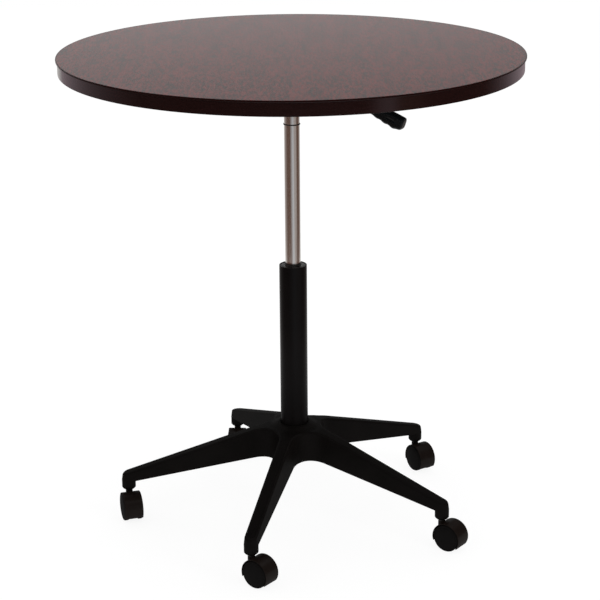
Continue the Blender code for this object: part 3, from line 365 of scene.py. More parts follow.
def wheel_profile():
    """A wheel's half section as (radius, distance from the caster's middle plane): domed face with a
    shallow groove inside its rim, rounded tread, plain inner face with a hub that meets the web."""
    dome = [(r, WHEEL_OUTER + 0.0025 * (1 - (r / 0.0222) ** 2)) for r in np.linspace(0, 0.0205, 10)]
    rim = rounded([
        (0.0205, WHEEL_OUTER + 0.00037), (0.0209, WHEEL_OUTER - 0.0004), (0.0214, WHEEL_OUTER + 0.0001),
        (0.0238, WHEEL_OUTER - 0.0002), (WHEEL_RADIUS, WHEEL_OUTER - 0.0022),
        (WHEEL_RADIUS, WHEEL_INNER + 0.0014), (0.0236, WHEEL_INNER), (0.0190, WHEEL_INNER),
        (0.0180, WHEEL_INNER + 0.0015), (0.0070, WHEEL_INNER + 0.0015), (0.0064, WHEEL_INNER),
        (0, WHEEL_INNER)], 0.0009, 4)
    return np.concatenate([dome, rim])


# Wheel plastic: the same black nylon with a plain tread, finely scuffed, and dullest where it
# meets the floor.
wheel_nylon, tree, shader, where = new_finish("caster_wheel_nylon")
height = add_node(tree, "ShaderNodeSeparateXYZ", {"Vector": where}).outputs["Z"]
scuff = add_node(tree, "ShaderNodeTexNoise", {
    "Vector": where, "Scale": 240.0, "Detail": 5.0, "Roughness": 0.65})
worn = add_node(tree, "ShaderNodeMapRange", {
    "Value": height, "From Min": 0.0, "From Max": 0.012, "To Min": 0.75, "To Max": 0.44})
spread = add_node(tree, "ShaderNodeMapRange", {
    "Value": scuff.outputs["Fac"], "To Min": -0.06, "To Max": 0.06})
dull = add_node(tree, "ShaderNodeMath", {
    0: worn.outputs["Result"], 1: scuff.outputs["Fac"], 2: spread.outputs["Result"],
}, operation="MULTIPLY_ADD")
tone = add_node(tree, "ShaderNodeValToRGB", {"Fac": scuff.outputs["Fac"]})
tone.color_ramp.elements[0].color = linear("0d0c0b")
tone.color_ramp.elements[1].color = linear("161414")
bump = add_node(tree, "ShaderNodeBump", {
    "Height": scuff.outputs["Fac"], "Strength": 0.12, "Distance": 0.0003})
set_sockets(shader, {
    "Base Color": tone.outputs["Color"], "Roughness": dull.outputs["Value"],
    "Normal": bump.outputs["Normal"], "Specular IOR Level": 0.0, "Coat Weight": 0.07,
    "Coat Roughness": 0.35})

# The hoods are moulded of the same nylon with a silkier skin. Their tone, a shade browner and lighter
# than the wheels', is painted reflection of the brown surroundings mirrored in them.
hood_nylon, tree, shader, where = new_finish("caster_hood_nylon")
silk = add_node(tree, "ShaderNodeTexNoise", {"Vector": where, "Scale": 90.0, "Detail": 4.0})
tone = add_node(tree, "ShaderNodeValToRGB", {"Fac": silk.outputs["Fac"]})
# painted reflection: browner and lighter than the wheels' tone, for the warm room seen in the hoods
tone.color_ramp.elements[0].color = linear("15100e")
tone.color_ramp.elements[1].color = linear("211a17")
bump = add_node(tree, "ShaderNodeBump", {
    "Height": silk.outputs["Fac"], "Strength": 0.08, "Distance": 0.0003})
set_sockets(shader, {
    "Base Color": tone.outputs["Color"], "Normal": bump.outputs["Normal"], "Roughness": 0.5,
    "Specular IOR Level": 0.0, "Coat Weight": 0.14, "Coat Roughness": 0.30})

# Zinc plate on turned steel: grey, slightly mottled, with the fine rings that turning leaves.
zinc, tree, shader, where = new_finish("zinc_plated_steel")
mottle = add_node(tree, "ShaderNodeTexNoise", {"Vector": where, "Scale": 180.0, "Detail": 4.0})
tone = add_node(tree, "ShaderNodeValToRGB", {"Fac": mottle.outputs["Fac"]})
tone.color_ramp.elements[0].color = linear("9c9a94")
tone.color_ramp.elements[1].color = linear("c2c0ba")
rings = add_node(tree, "ShaderNodeTexWave", {
    "Vector": where, "Scale": 420.0, "Distortion": 0.6}, wave_type="BANDS", bands_direction="Z")
bump = add_node(tree, "ShaderNodeBump", {
    "Height": rings.outputs["Fac"], "Strength": 0.05, "Distance": 0.0002})
set_sockets(shader, {
    "Base Color": tone.outputs["Color"], "Normal": bump.outputs["Normal"], "Metallic": 1.0,
    "Roughness": 0.34})

# The stems are steel coloured near black: painted shade for the shaded gap between hood and socket, where
# nothing bright shows.
shade_painted_steel, tree, shader, where = new_finish("stem_steel_painted_shade")
smut = add_node(tree, "ShaderNodeTexNoise", {"Vector": where, "Scale": 320.0, "Detail": 3.0})
tone = add_node(tree, "ShaderNodeValToRGB", {"Fac": smut.outputs["Fac"]})
# painted shade: near-black colours for a stem in the shadow of its socket
tone.color_ramp.elements[0].color = linear("1a1817")
tone.color_ramp.elements[1].color = linear("2b2826")
set_sockets(shader, {"Base Color": tone.outputs["Color"], "Metallic": 0.6, "Roughness": 0.42})

for number, (angle, trail) in enumerate(zip(ARM_ANGLES, CASTER_TRAILS), 1):
    stem = np.array([STEM_CIRCLE * np.cos(angle), STEM_CIRCLE * np.sin(angle), 0.0])
    forward = np.array([np.cos(trail), np.sin(trail), 0.0])
    sideways = np.array([np.sin(trail), -np.cos(trail), 0.0])
    body, name = f"caster_{number}", f"caster_{number}_"
    boss = turned(rounded([
        (0, 0.028), (0.0066, 0.028), (COLLAR_RADIUS, HOOD_BOSS_TOP), (0, HOOD_BOSS_TOP)], 0.0008, 4),
        stem, sides=48)
    skin(name + "hood_shell", hood_sheets(stem, forward, sideways) + [boss], hood_nylon, body,
         [name + "hood"])
    pin = turned(rounded([
        (0, 0.0330), (0.0040, 0.0330), (0.0040, COLLAR_FOOT), (COLLAR_RADIUS, COLLAR_FOOT),
        (COLLAR_RADIUS, COLLAR_TOP), (STEM_RADIUS, COLLAR_TOP + 0.0001), (STEM_RADIUS, STEM_TOP),
        (0, STEM_TOP)], 0.0004, 3), stem, sides=40)
    skin(name + "stem_pin", [pin], shade_painted_steel, body, [name + "stem"])
    axle = stem + forward * TRAIL + np.array([0, 0, WHEEL_RADIUS])
    for side, way in (("right", 1), ("left", -1)):
        wheel = turned(wheel_profile(), axle, sideways * way, 80)
        skin(name + "wheel_" + side + "_moulding", [wheel], wheel_nylon, f"{body}_{side}",
             [name + "wheel_" + side])
    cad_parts[name + "axle"].material_slots[0].material = zinc
    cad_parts[name + "grip_ring"].material_slots[0].material = zinc


# Column: drawn steel tube, baked black enamel, pressed by its taper into the hub. Its rim is cut
# square and eased, and a dark acetal bushing just inside it guides the inner tube.

COLUMN_RADIUS = 0.0250
COLUMN_BORE = 0.0232
COLUMN_RIM = 0.4800
COLUMN_FLOOR = 0.1270
FLOOR_BORE = 0.0045
BUSHING_RADIUS = 0.0229
BUSHING_BORE = 0.0143
BUSHING_FOOT = 0.3950
BUSHING_TOP = 0.4792

# Enamel lies smooth on the steel, with a faint orange-peel ripple of about 2 mm. Its gloss is full
# from 32 cm up and scuffed away below, where shoes and brooms reach it.
enamel, tree, shader, where = new_finish("baked_black_enamel")
peel = add_node(tree, "ShaderNodeTexNoise", {"Vector": where, "Scale": 420.0, "Detail": 2.0})
dust = add_node(tree, "ShaderNodeTexNoise", {"Vector": where, "Scale": 36.0, "Detail": 5.0})
tone = add_node(tree, "ShaderNodeValToRGB", {"Fac": dust.outputs["Fac"]})
tone.color_ramp.elements[0].color = linear("0b0909")
tone.color_ramp.elements[1].color = linear("120f0f")
sheen = add_node(tree, "ShaderNodeMapRange", {
    "Value": dust.outputs["Fac"], "To Min": 0.34, "To Max": 0.46})
bump = add_node(tree, "ShaderNodeBump", {
    "Height": peel.outputs["Fac"], "Strength": 0.08, "Distance": 0.0003})
height = add_node(tree, "ShaderNodeSeparateXYZ", {"Vector": where}).outputs["Z"]
gloss = add_node(tree, "ShaderNodeMapRange", {
    "Value": height, "From Min": 0.17, "From Max": 0.32, "To Min": 0.15, "To Max": 0.90})
set_sockets(shader, {
    "Base Color": tone.outputs["Color"], "Roughness": sheen.outputs["Result"],
    "Normal": bump.outputs["Normal"], "Specular IOR Level": 0.0, "Coat Weight": gloss.outputs["Result"],
    "Coat IOR": 1.2, "Coat Roughness": 0.30})

column = turned(rounded([
    (COLUMN_BORE, 0.1800), (COLUMN_BORE, COLUMN_RIM), (COLUMN_RADIUS, COLUMN_RIM), (COLUMN_RADIUS, 0.1732),
    (0.0230, COLUMN_FOOT), (FLOOR_BORE, COLUMN_FOOT), (FLOOR_BORE, COLUMN_FLOOR), (0.0210, COLUMN_FLOOR),
    (COLUMN_BORE, 0.1800)], 0.00088, 6), sides=128)
skin("column_tube_enamelled", [column], enamel, "base", ["column_tube"])

# Acetal moulded in dark grey: waxy and slick, with a faint clouding.
acetal, tree, shader, where = new_finish("moulded_grey_acetal")
cloud = add_node(tree, "ShaderNodeTexNoise", {"Vector": where, "Scale": 150.0, "Detail": 3.0})
tone = add_node(tree, "ShaderNodeValToRGB", {"Fac": cloud.outputs["Fac"]})
tone.color_ramp.elements[0].color = linear("1c1b1a")
tone.color_ramp.elements[1].color = linear("272524")
bump = add_node(tree, "ShaderNodeBump", {
    "Height": cloud.outputs["Fac"], "Strength": 0.08, "Distance": 0.0003})
set_sockets(shader, {
    "Base Color": tone.outputs["Color"], "Normal": bump.outputs["Normal"], "Roughness": 0.22,
    "Specular IOR Level": 0.05})

bushing = turned(rounded([
    (BUSHING_RADIUS, BUSHING_FOOT), (BUSHING_RADIUS, BUSHING_TOP), (0.0152, BUSHING_TOP),
    (BUSHING_BORE, BUSHING_TOP - 0.0006), (BUSHING_BORE, BUSHING_FOOT), (BUSHING_RADIUS, BUSHING_FOOT)],
    0.0005, 3), sides=96)
skin("guide_bushing_moulded", [bushing], acetal, "base", ["guide_bushing"])
for name in ("ball_cage", "rod_guide"):
    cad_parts[name].material_slots[0].material = acetal
for name in ("lower_race", "upper_race", "rod_clip", "piston"):
    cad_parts[name].material_slots[0].material = zinc

# Rubber of the buffer: dull, with a dusty bloom.
rubber, tree, shader, where = new_finish("moulded_black_rubber")
bloom = add_node(tree, "ShaderNodeTexNoise", {"Vector": where, "Scale": 260.0, "Detail": 4.0})
tone = add_node(tree, "ShaderNodeValToRGB", {"Fac": bloom.outputs["Fac"]})
tone.color_ramp.elements[0].color = linear("151413")
tone.color_ramp.elements[1].color = linear("242322")
set_sockets(shader, {"Base Color": tone.outputs["Color"], "Roughness": 0.8})
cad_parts["rubber_buffer"].material_slots[0].material = rubber


# Pressure tube: drawn steel, ground and chrome plated, tapered at its top where it sits in the
# plate's socket. A thin black rubber ring near its top marks how far it goes down.

TUBE_RADIUS = 0.0140
TUBE_BORE = 0.0125
TUBE_FOOT = 0.4155
TUBE_SHOULDER = 0.7640
TUBE_TOP = 0.8180
BUTTON_BORE = 0.0043
RING_RADIUS = 0.0149
RING_BORE = 0.01425
RING_FOOT = 0.7373
RING_TOP = 0.7393

# Bright chrome over ground steel: a nearly neutral mirror. The grinding marks run round the tube,
# so what it mirrors is blurred along it, and its polish varies in fine lengthwise streaks.
chrome, tree, shader, where = new_finish("polished_chrome_plate")
stretch = add_node(tree, "ShaderNodeMapping", {"Vector": where, "Scale": (900.0, 900.0, 6.0)})
marks = add_node(tree, "ShaderNodeTexNoise", {
    "Vector": stretch.outputs["Vector"], "Scale": 1.0, "Detail": 2.0})
polish = add_node(tree, "ShaderNodeMapRange", {
    "Value": marks.outputs["Fac"], "To Min": 0.11, "To Max": 0.15})
round_about = add_node(tree, "ShaderNodeVectorMath", {
    0: (0.0, 0.0, 1.0), 1: where}, operation="CROSS_PRODUCT")
set_sockets(shader, {
    "Base Color": linear("d6d2cf"), "Metallic": 1.0, "Roughness": polish.outputs["Result"],
    "Tangent": round_about.outputs["Vector"], "Anisotropic": 0.9, "Anisotropic Rotation": 0.25})

tube = turned(rounded([
    (TUBE_BORE, TUBE_FOOT), (TUBE_RADIUS, TUBE_FOOT), (TUBE_RADIUS, TUBE_SHOULDER), (0.0130, TUBE_TOP),
    (BUTTON_BORE, TUBE_TOP), (BUTTON_BORE, 0.8150), (0.0115, 0.8150), (TUBE_BORE, TUBE_SHOULDER),
    (TUBE_BORE, TUBE_FOOT)], 0.0008, 4), sides=128)
skin("pressure_tube_chromed", [tube], chrome, "lift", ["pressure_tube"])
stop_ring = turned(rounded([
    (RING_BORE, RING_FOOT), (RING_RADIUS, RING_FOOT), (RING_RADIUS, RING_TOP), (RING_BORE, RING_TOP),
    (RING_BORE, RING_FOOT)], 0.0005, 5), sides=96)
skin("tube_stop_ring", [stop_ring], rubber, "lift", ["tube_ring"])
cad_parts["piston_rod"].material_slots[0].material = chrome
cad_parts["release_button"].material_slots[0].material = zinc


# Mounting plate: pressed steel, powder coated black, screwed under the board, with the tapered
# socket welded into its pan. The lever's rod turns on a pin across the pan.

# Powder coat: a fine pebbled skin, grains of about half a millimetre.
powder, tree, shader, where = new_finish("black_powder_coat")
pebble = add_node(tree, "ShaderNodeTexVoronoi", {"Vector": where, "Scale": 1400.0})
tone = add_node(tree, "ShaderNodeValToRGB", {"Fac": pebble.outputs["Distance"]})
tone.color_ramp.elements[0].color = linear("1b1a1a")
tone.color_ramp.elements[1].color = linear("121111")
bump = add_node(tree, "ShaderNodeBump", {
    "Height": pebble.outputs["Distance"], "Strength": 0.3, "Distance": 0.0002}, invert=True)
set_sockets(shader, {
    "Base Color": tone.outputs["Color"], "Normal": bump.outputs["Normal"], "Roughness": 0.55})

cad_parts["mounting_plate"].material_slots[0].material = powder
for name in ["tube_socket", "lever_pivot_pin"] + [f"plate_screw_{number}" for number in range(1, 5)]:
    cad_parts[name].material_slots[0].material = zinc


# Lever: a bent steel rod in the stems' near-black colour, which is painted shade, with a moulded finger
# grip pushed over its end. The grip is flat sided, deepest near its end, with shallow scallops for the
# fingers underneath and a short groove along the middle of its sides near the end.

LEVER_ANGLE = np.radians(-30)
LEVER_OUT = np.array([np.cos(LEVER_ANGLE), np.sin(LEVER_ANGLE), 0.0])
LEVER_SIDE = np.array([-np.sin(LEVER_ANGLE), np.cos(LEVER_ANGLE), 0.0])
PIVOT = 0.045 * LEVER_OUT + np.array([0, 0, 0.8273])
ROD_RADIUS = 0.0040
GRIP_TILT = np.radians(20.2)
GRIP_LENGTH = 0.0840
GRIP_START = np.array([0.095, -0.040])
GRIP_START_HEIGHT = 0.0115
GRIP_END_HEIGHT = 0.0258
GRIP_END_ROUND = 0.0032
GRIP_UNDERCUT = 0.0140
SCALLOP_PITCH = 0.0168
SCALLOP_DEPTH = 0.0016


def on_lever(plane, aside):
    """Points from their place in the lever's upright plane, as (reach, height) from the pivot, and
    their distance aside of it."""
    return (PIVOT + plane[..., :1] * LEVER_OUT + plane[..., 1:] * np.array([0, 0, 1.0])
            + aside[..., None] * LEVER_SIDE)


def swept_tube(path, radius, sides=32):
    """A round bar along a path in the lever's upright plane: each path point carries a circle that
    stands square to the path, and both ends are eased and closed on the path."""
    step = np.gradient(path, axis=0)
    step /= np.linalg.norm(step, axis=1)[:, None]
    normal = np.stack([-step[:, 1], step[:, 0]], -1)
    t = np.linspace(0, 2 * np.pi, sides + 1)
    t[-1] = 0
    last = len(path) - 1
    order = np.concatenate([[0, 0], np.arange(last + 1), [last, last]])
    size = np.full(len(order), radius)
    size[[0, -1]] = 0
    size[[1, -2]] = radius * 0.88
    plane = path[order][:, None] + normal[order][:, None] * (np.cos(t)[None, :, None] * size[:, None, None])
    aside = np.sin(t)[None, :] * size[:, None]
    return on_lever(plane, aside)


def grip_sheet():
    """The grip as rings along its length. Each ring is a superellipse of power 4, whose height grows
    as a quarter sine and whose width is a parabola of the length. Cosine scallops cut it in below,
    a half sine slims its underside, and an elliptic end closes it. Its sides draw in upwards by 4
    per cent and lean in near the upper edge, but near the end a bell-shaped groove along their
    middle takes the lean's place."""
    end = np.sin(np.linspace(0, np.pi / 2, 14))
    straight = GRIP_LENGTH - GRIP_END_ROUND
    along = np.concatenate([
        [0, 0, 0.0008], np.linspace(0.003, straight, 64), straight + GRIP_END_ROUND * end[1:],
        [GRIP_LENGTH]])
    share = along / GRIP_LENGTH
    eased = np.sin(np.pi / 2 * np.minimum(share * 1.25, 1))
    tall = GRIP_START_HEIGHT + (GRIP_END_HEIGHT - GRIP_START_HEIGHT) * eased
    wide = 0.0180 - 0.0170 * (share - 0.72) ** 2
    scallop = SCALLOP_DEPTH * (0.5 - 0.5 * np.cos(2 * np.pi * along / SCALLOP_PITCH)) * eased
    past = np.maximum(along - straight, 0) / GRIP_END_ROUND
    undercut = np.maximum(along - (GRIP_LENGTH - GRIP_UNDERCUT), 0) / GRIP_UNDERCUT
    close = 0.78 + 0.22 * np.sqrt(np.maximum(1 - past ** 2, 0))
    close_below = 0.40 + 0.60 * np.sqrt(np.maximum(1 - undercut ** 2, 0))
    start = np.ones(len(along))
    start[0], start[1], start[-1] = 0, 0.86, 0
    slender = 0.0012 * np.sin(np.pi * np.clip(share / 0.84, 0, 1))
    above = 0.485 * tall * close * start
    below = (0.515 * tall - slender - scallop) * close_below * start
    half = wide / 2 * close * start
    t = np.linspace(0, 2 * np.pi, 113)
    t[-1] = 0
    square = (np.abs(np.cos(t)) ** 4 + np.abs(np.sin(t)) ** 4) ** (-1 / 4)
    side, rise = np.cos(t) * square, np.sin(t) * square
    formed = np.clip((share - 0.56) / 0.10, 0, 1) * np.clip((0.94 - share) / 0.16, 0, 1)
    groove = 0.13 * np.exp(-(rise / np.where(rise < 0, 0.08, 0.24)) ** 2)
    lean = 0.25 * np.clip(rise - 0.40, 0, 1)
    side = side * (1 - 0.04 * (rise + 1) - (1 - formed[:, None]) * lean - formed[:, None] * groove)
    reach = np.where(rise[None, :] > 0, above[:, None], below[:, None])
    ahead = np.array([np.cos(GRIP_TILT), -np.sin(GRIP_TILT)])
    upward = np.array([np.sin(GRIP_TILT), np.cos(GRIP_TILT)])
    plane = (GRIP_START + along[:, None] * ahead)[:, None] + (reach * rise)[..., None] * upward
    return on_lever(plane, half[:, None] * side)


rod_end = GRIP_START + 0.052 * np.array([np.cos(GRIP_TILT), -np.sin(GRIP_TILT)])
rod_path = rounded([(-0.051, 0), (0.033, 0), GRIP_START, rod_end], 0.017, 12)
skin("lever_rod_bent", [swept_tube(rod_path, ROD_RADIUS)], shade_painted_steel, "lever",
     ["lever_rod"])

# ABS of the grip: harder and shinier than the base, rubbed smooth by fingers.
grip_abs, tree, shader, where = new_finish("moulded_black_abs")
rubbed = add_node(tree, "ShaderNodeTexNoise", {"Vector": where, "Scale": 110.0, "Detail": 4.0})
tone = add_node(tree, "ShaderNodeValToRGB", {"Fac": rubbed.outputs["Fac"]})
tone.color_ramp.elements[0].color = linear("0c0f11")
tone.color_ramp.elements[1].color = linear("131619")
sheen = add_node(tree, "ShaderNodeMapRange", {
    "Value": rubbed.outputs["Fac"], "To Min": 0.18, "To Max": 0.28})
bump = add_node(tree, "ShaderNodeBump", {
    "Height": rubbed.outputs["Fac"], "Strength": 0.06, "Distance": 0.0003})
set_sockets(shader, {
    "Base Color": tone.outputs["Color"], "Roughness": sheen.outputs["Result"],
    "Normal": bump.outputs["Normal"], "Specular IOR Level": 0.25})
skin("lever_grip_moulded", [grip_sheet()], grip_abs, "lever", ["lever_handle"])


# Tabletop: a chipboard disc faced with dark mahogany laminate, and a moulded band pressed into its
# edge. The band's upper edge stands proud of its side as a small rounded lip.

TOP_RADIUS = 0.4064
BAND_RADIUS = 0.4035
BOARD_RADIUS = 0.4014
LAMINATE_RADIUS = 0.4049
BAND_BORE = 0.4017
LIP_BORE = 0.4052
TABLE_HEIGHT = 0.8650
LAMINATE_FOOT = 0.8642
BOARD_TOP = 0.8639
LIP_FOOT = 0.8620
UNDERSIDE = 0.8390

# Chipboard: pressed wood flakes 2 to 6 mm long in a fine binder. The underside carries a dark
# phenolic backing sheet against warping, smooth and slightly clouded.
chipboard, tree, shader, where = new_finish("raw_chipboard")
flakes = add_node(tree, "ShaderNodeTexVoronoi", {"Vector": where, "Scale": 320.0, "Randomness": 1.0})
fine = add_node(tree, "ShaderNodeTexNoise", {"Vector": where, "Scale": 900.0, "Detail": 3.0})
each_flake = add_node(tree, "ShaderNodeSeparateColor", {"Color": flakes.outputs["Color"]})
tone = add_node(tree, "ShaderNodeValToRGB", {"Fac": each_flake.outputs["Red"]})
tone.color_ramp.elements[0].color = linear("8a6c4a")
tone.color_ramp.elements[1].color = linear("b8976c")
height = add_node(tree, "ShaderNodeSeparateXYZ", {"Vector": where}).outputs["Z"]
backed = add_node(tree, "ShaderNodeMath", {
    0: height, 1: UNDERSIDE + 0.0006}, operation="LESS_THAN").outputs["Value"]
clouds = add_node(tree, "ShaderNodeTexNoise", {"Vector": where, "Scale": 14.0, "Detail": 5.0})
backing = add_node(tree, "ShaderNodeValToRGB", {"Fac": clouds.outputs["Fac"]})
backing.color_ramp.elements[0].color = linear("171413")
backing.color_ramp.elements[1].color = linear("241f1d")
face = add_node(tree, "ShaderNodeMix", {
    "Factor": backed, 6: tone.outputs["Color"], 7: backing.outputs["Color"]}, data_type="RGBA")
smooth = add_node(tree, "ShaderNodeMapRange", {"Value": backed, "To Min": 0.85, "To Max": 0.55})
bump = add_node(tree, "ShaderNodeBump", {
    "Height": fine.outputs["Fac"], "Strength": 0.15, "Distance": 0.0003})
set_sockets(shader, {
    "Base Color": face.outputs[2], "Roughness": smooth.outputs["Result"],
    "Normal": bump.outputs["Normal"], "Specular IOR Level": 0.2})
board = turned(rounded([
    (0, BOARD_TOP), (BOARD_RADIUS, BOARD_TOP), (BOARD_RADIUS, UNDERSIDE), (0, UNDERSIDE)], 0.0004, 3),
    sides=192)
skin("tabletop_core", [board], chipboard, "lift", ["tabletop_board"])

# Melamine laminate: a mahogany print under clear resin, with a soft sheen and a pressed texture of
# about 1.5 mm. Red-brown strokes on a very dark brown, some 4 mm wide and 24 mm long and frayed into
# finer ones, run along the grain away from the viewer, over a faint figure five times as coarse.
laminate, tree, shader, where = new_finish("mahogany_melamine_laminate")
fleck_space = add_node(tree, "ShaderNodeMapping", {"Vector": where, "Scale": (230.0, 42.0, 1.0)})
flecks = add_node(tree, "ShaderNodeTexNoise", {
    "Vector": fleck_space.outputs["Vector"], "Scale": 1.0, "Detail": 6.0, "Roughness": 0.85})
figure_space = add_node(tree, "ShaderNodeMapping", {"Vector": where, "Scale": (48.0, 9.0, 1.0)})
figure = add_node(tree, "ShaderNodeTexNoise", {
    "Vector": figure_space.outputs["Vector"], "Scale": 1.0, "Detail": 3.0})
both = add_node(tree, "ShaderNodeMix", {
    "Factor": 0.15, "A": flecks.outputs["Fac"], "B": figure.outputs["Fac"]}, data_type="FLOAT")
tone = add_node(tree, "ShaderNodeValToRGB", {"Fac": both.outputs["Result"]})
tone.color_ramp.elements[0].position = 0.455
tone.color_ramp.elements[1].position = 0.545
tone.color_ramp.elements[0].color = linear("240f0d")
tone.color_ramp.elements[1].color = linear("5e211f")
sheen = add_node(tree, "ShaderNodeMapRange", {
    "Value": flecks.outputs["Fac"], "To Min": 0.12, "To Max": 0.22})
press = add_node(tree, "ShaderNodeTexNoise", {"Vector": where, "Scale": 700.0, "Detail": 2.0})
bump = add_node(tree, "ShaderNodeBump", {
    "Height": press.outputs["Fac"], "Strength": 0.06, "Distance": 0.0002})
set_sockets(shader, {
    "Base Color": tone.outputs["Color"], "Roughness": sheen.outputs["Result"],
    "Normal": bump.outputs["Normal"], "Specular IOR Level": 0.03})
face_rings = np.concatenate([np.linspace(0, 0.4040, 24), [LAMINATE_RADIUS]])
face = turned(np.concatenate([
    np.stack([face_rings, np.full(25, TABLE_HEIGHT)], -1),
    [(LAMINATE_RADIUS, LAMINATE_FOOT), (0, LAMINATE_FOOT)]]), sides=256)
skin("laminate_sheet", [face], laminate, "lift", ["laminate_face"])

# The band is ABS, extruded in a darker mahogany colour and bent round the board. Its side is
# calendered to a gloss, but its lip and its lower corner are scraped after fitting and stay dull.
band_abs, tree, shader, where = new_finish("extruded_mahogany_abs")
streak_space = add_node(tree, "ShaderNodeMapping", {"Vector": where, "Scale": (30.0, 30.0, 900.0)})
streak = add_node(tree, "ShaderNodeTexNoise", {
    "Vector": streak_space.outputs["Vector"], "Scale": 1.0, "Detail": 3.0})
tone = add_node(tree, "ShaderNodeValToRGB", {"Fac": streak.outputs["Fac"]})
tone.color_ramp.elements[0].color = linear("150706")
tone.color_ramp.elements[1].color = linear("240c0b")
sheen = add_node(tree, "ShaderNodeMapRange", {
    "Value": streak.outputs["Fac"], "To Min": 0.14, "To Max": 0.22})
height = add_node(tree, "ShaderNodeSeparateXYZ", {"Vector": where}).outputs["Z"]
above_middle = add_node(tree, "ShaderNodeMath", {0: height, 1: 0.8507}, operation="SUBTRACT")
off_middle = add_node(tree, "ShaderNodeMath", {0: above_middle.outputs["Value"]}, operation="ABSOLUTE")
calendered = add_node(tree, "ShaderNodeMapRange", {
    "Value": off_middle.outputs["Value"], "From Min": 0.0106, "From Max": 0.0112, "To Min": 0.5,
    "To Max": 0.05})
set_sockets(shader, {
    "Base Color": tone.outputs["Color"], "Roughness": sheen.outputs["Result"],
    "Specular IOR Level": calendered.outputs["Result"]})
band = turned(rounded([
    (BAND_BORE, 0.8500), (BAND_BORE, BOARD_TOP), (LIP_BORE, BOARD_TOP), (LIP_BORE, TABLE_HEIGHT),
    (TOP_RADIUS, TABLE_HEIGHT), (TOP_RADIUS, LIP_FOOT), (BAND_RADIUS, LIP_FOOT), (BAND_RADIUS, UNDERSIDE),
    (BAND_BORE, UNDERSIDE), (BAND_BORE, 0.8500)], 0.0010, 6), sides=256)
skin("edge_band_extruded", [band], band_abs, "lift", ["edge_band"])


# Studio: a white floor in a white room, a soft lamp overhead and one to the right. Screens stand
# round the camera's side, up to just above the tabletop, and a white sheet stands at the back. They
# are there only to be mirrored in the chrome, the enamel, the edge band and the other glossy pieces.

SCREEN_RADIUS = 0.88
SCREEN_SPAN = 150
WHITE_WALL = "e4e0dd"
GREY_WALL = "b0a8a4"
MAUVE_DRAPE = "b2a0a6"
BROWN_CURTAIN = "6c564c"
DARK_CLOTH = "403431"
WINDOW = "c8cbcf"
REFLECTOR = "ffffff"
CAMERA_PLACE = (-0.015, -3.1221, 1.4385)
CAMERA_PITCH = 0.31755
CAMERA_ROLL = 0.00772
CAMERA_YAW = -0.00866

floor_mesh = bpy.data.meshes.new("studio_floor")
floor_mesh.from_pydata([(-6, -6, 0), (6, -6, 0), (6, 6, 0), (-6, 6, 0)], [], [(0, 1, 2, 3)])
floor = bpy.data.objects.new("studio_floor", floor_mesh)
bpy.context.scene.collection.objects.link(floor)


def seen_directly(tree):
    """1 for rays of the camera, of a mirror and of glass, which see the background white, else 0."""
    path = add_node(tree, "ShaderNodeLightPath").outputs
    mirror = add_node(tree, "ShaderNodeMath", {
        0: path["Is Camera Ray"], 1: path["Is Glossy Ray"]}, operation="MAXIMUM")
    return add_node(tree, "ShaderNodeMath", {
        0: mirror.outputs["Value"], 1: path["Is Transmission Ray"]}, operation="MAXIMUM").outputs["Value"]


# Seen directly, most of the paper's light is plain white, so that it clips and only the table's
# soft shadow is left on it.
paper, tree, shader, where = new_finish("white_paper_floor")
set_sockets(shader, {
    "Base Color": (0.93, 0.93, 0.93, 1.0), "Roughness": 0.9, "Specular IOR Level": 0.0})
glow = add_node(tree, "ShaderNodeEmission", {"Color": (1.0, 1.0, 1.0, 1.0), "Strength": 1.12})
share = add_node(tree, "ShaderNodeMath", {0: seen_directly(tree), 1: 0.8}, operation="MULTIPLY")
sheet = add_node(tree, "ShaderNodeMixShader", {
    "Fac": share.outputs["Value"], 1: shader.outputs["BSDF"], 2: glow.outputs["Emission"]})
set_sockets(tree.nodes["Material Output"], {"Surface": sheet.outputs["Shader"]})
floor_mesh.materials.append(paper)

world = bpy.data.worlds.new("studio_room")
bpy.context.scene.world = world
world.use_nodes = True
tree = world.node_tree
tree.nodes.clear()
room = add_node(tree, "ShaderNodeMix", {
    "Factor": seen_directly(tree), 6: (0.62, 0.62, 0.62, 1.0), 7: (1.0, 1.0, 1.0, 1.0)}, data_type="RGBA")
surround = add_node(tree, "ShaderNodeBackground", {"Color": room.outputs[2], "Strength": 1.0})
add_node(tree, "ShaderNodeOutputWorld", {"Surface": surround.outputs["Background"]})

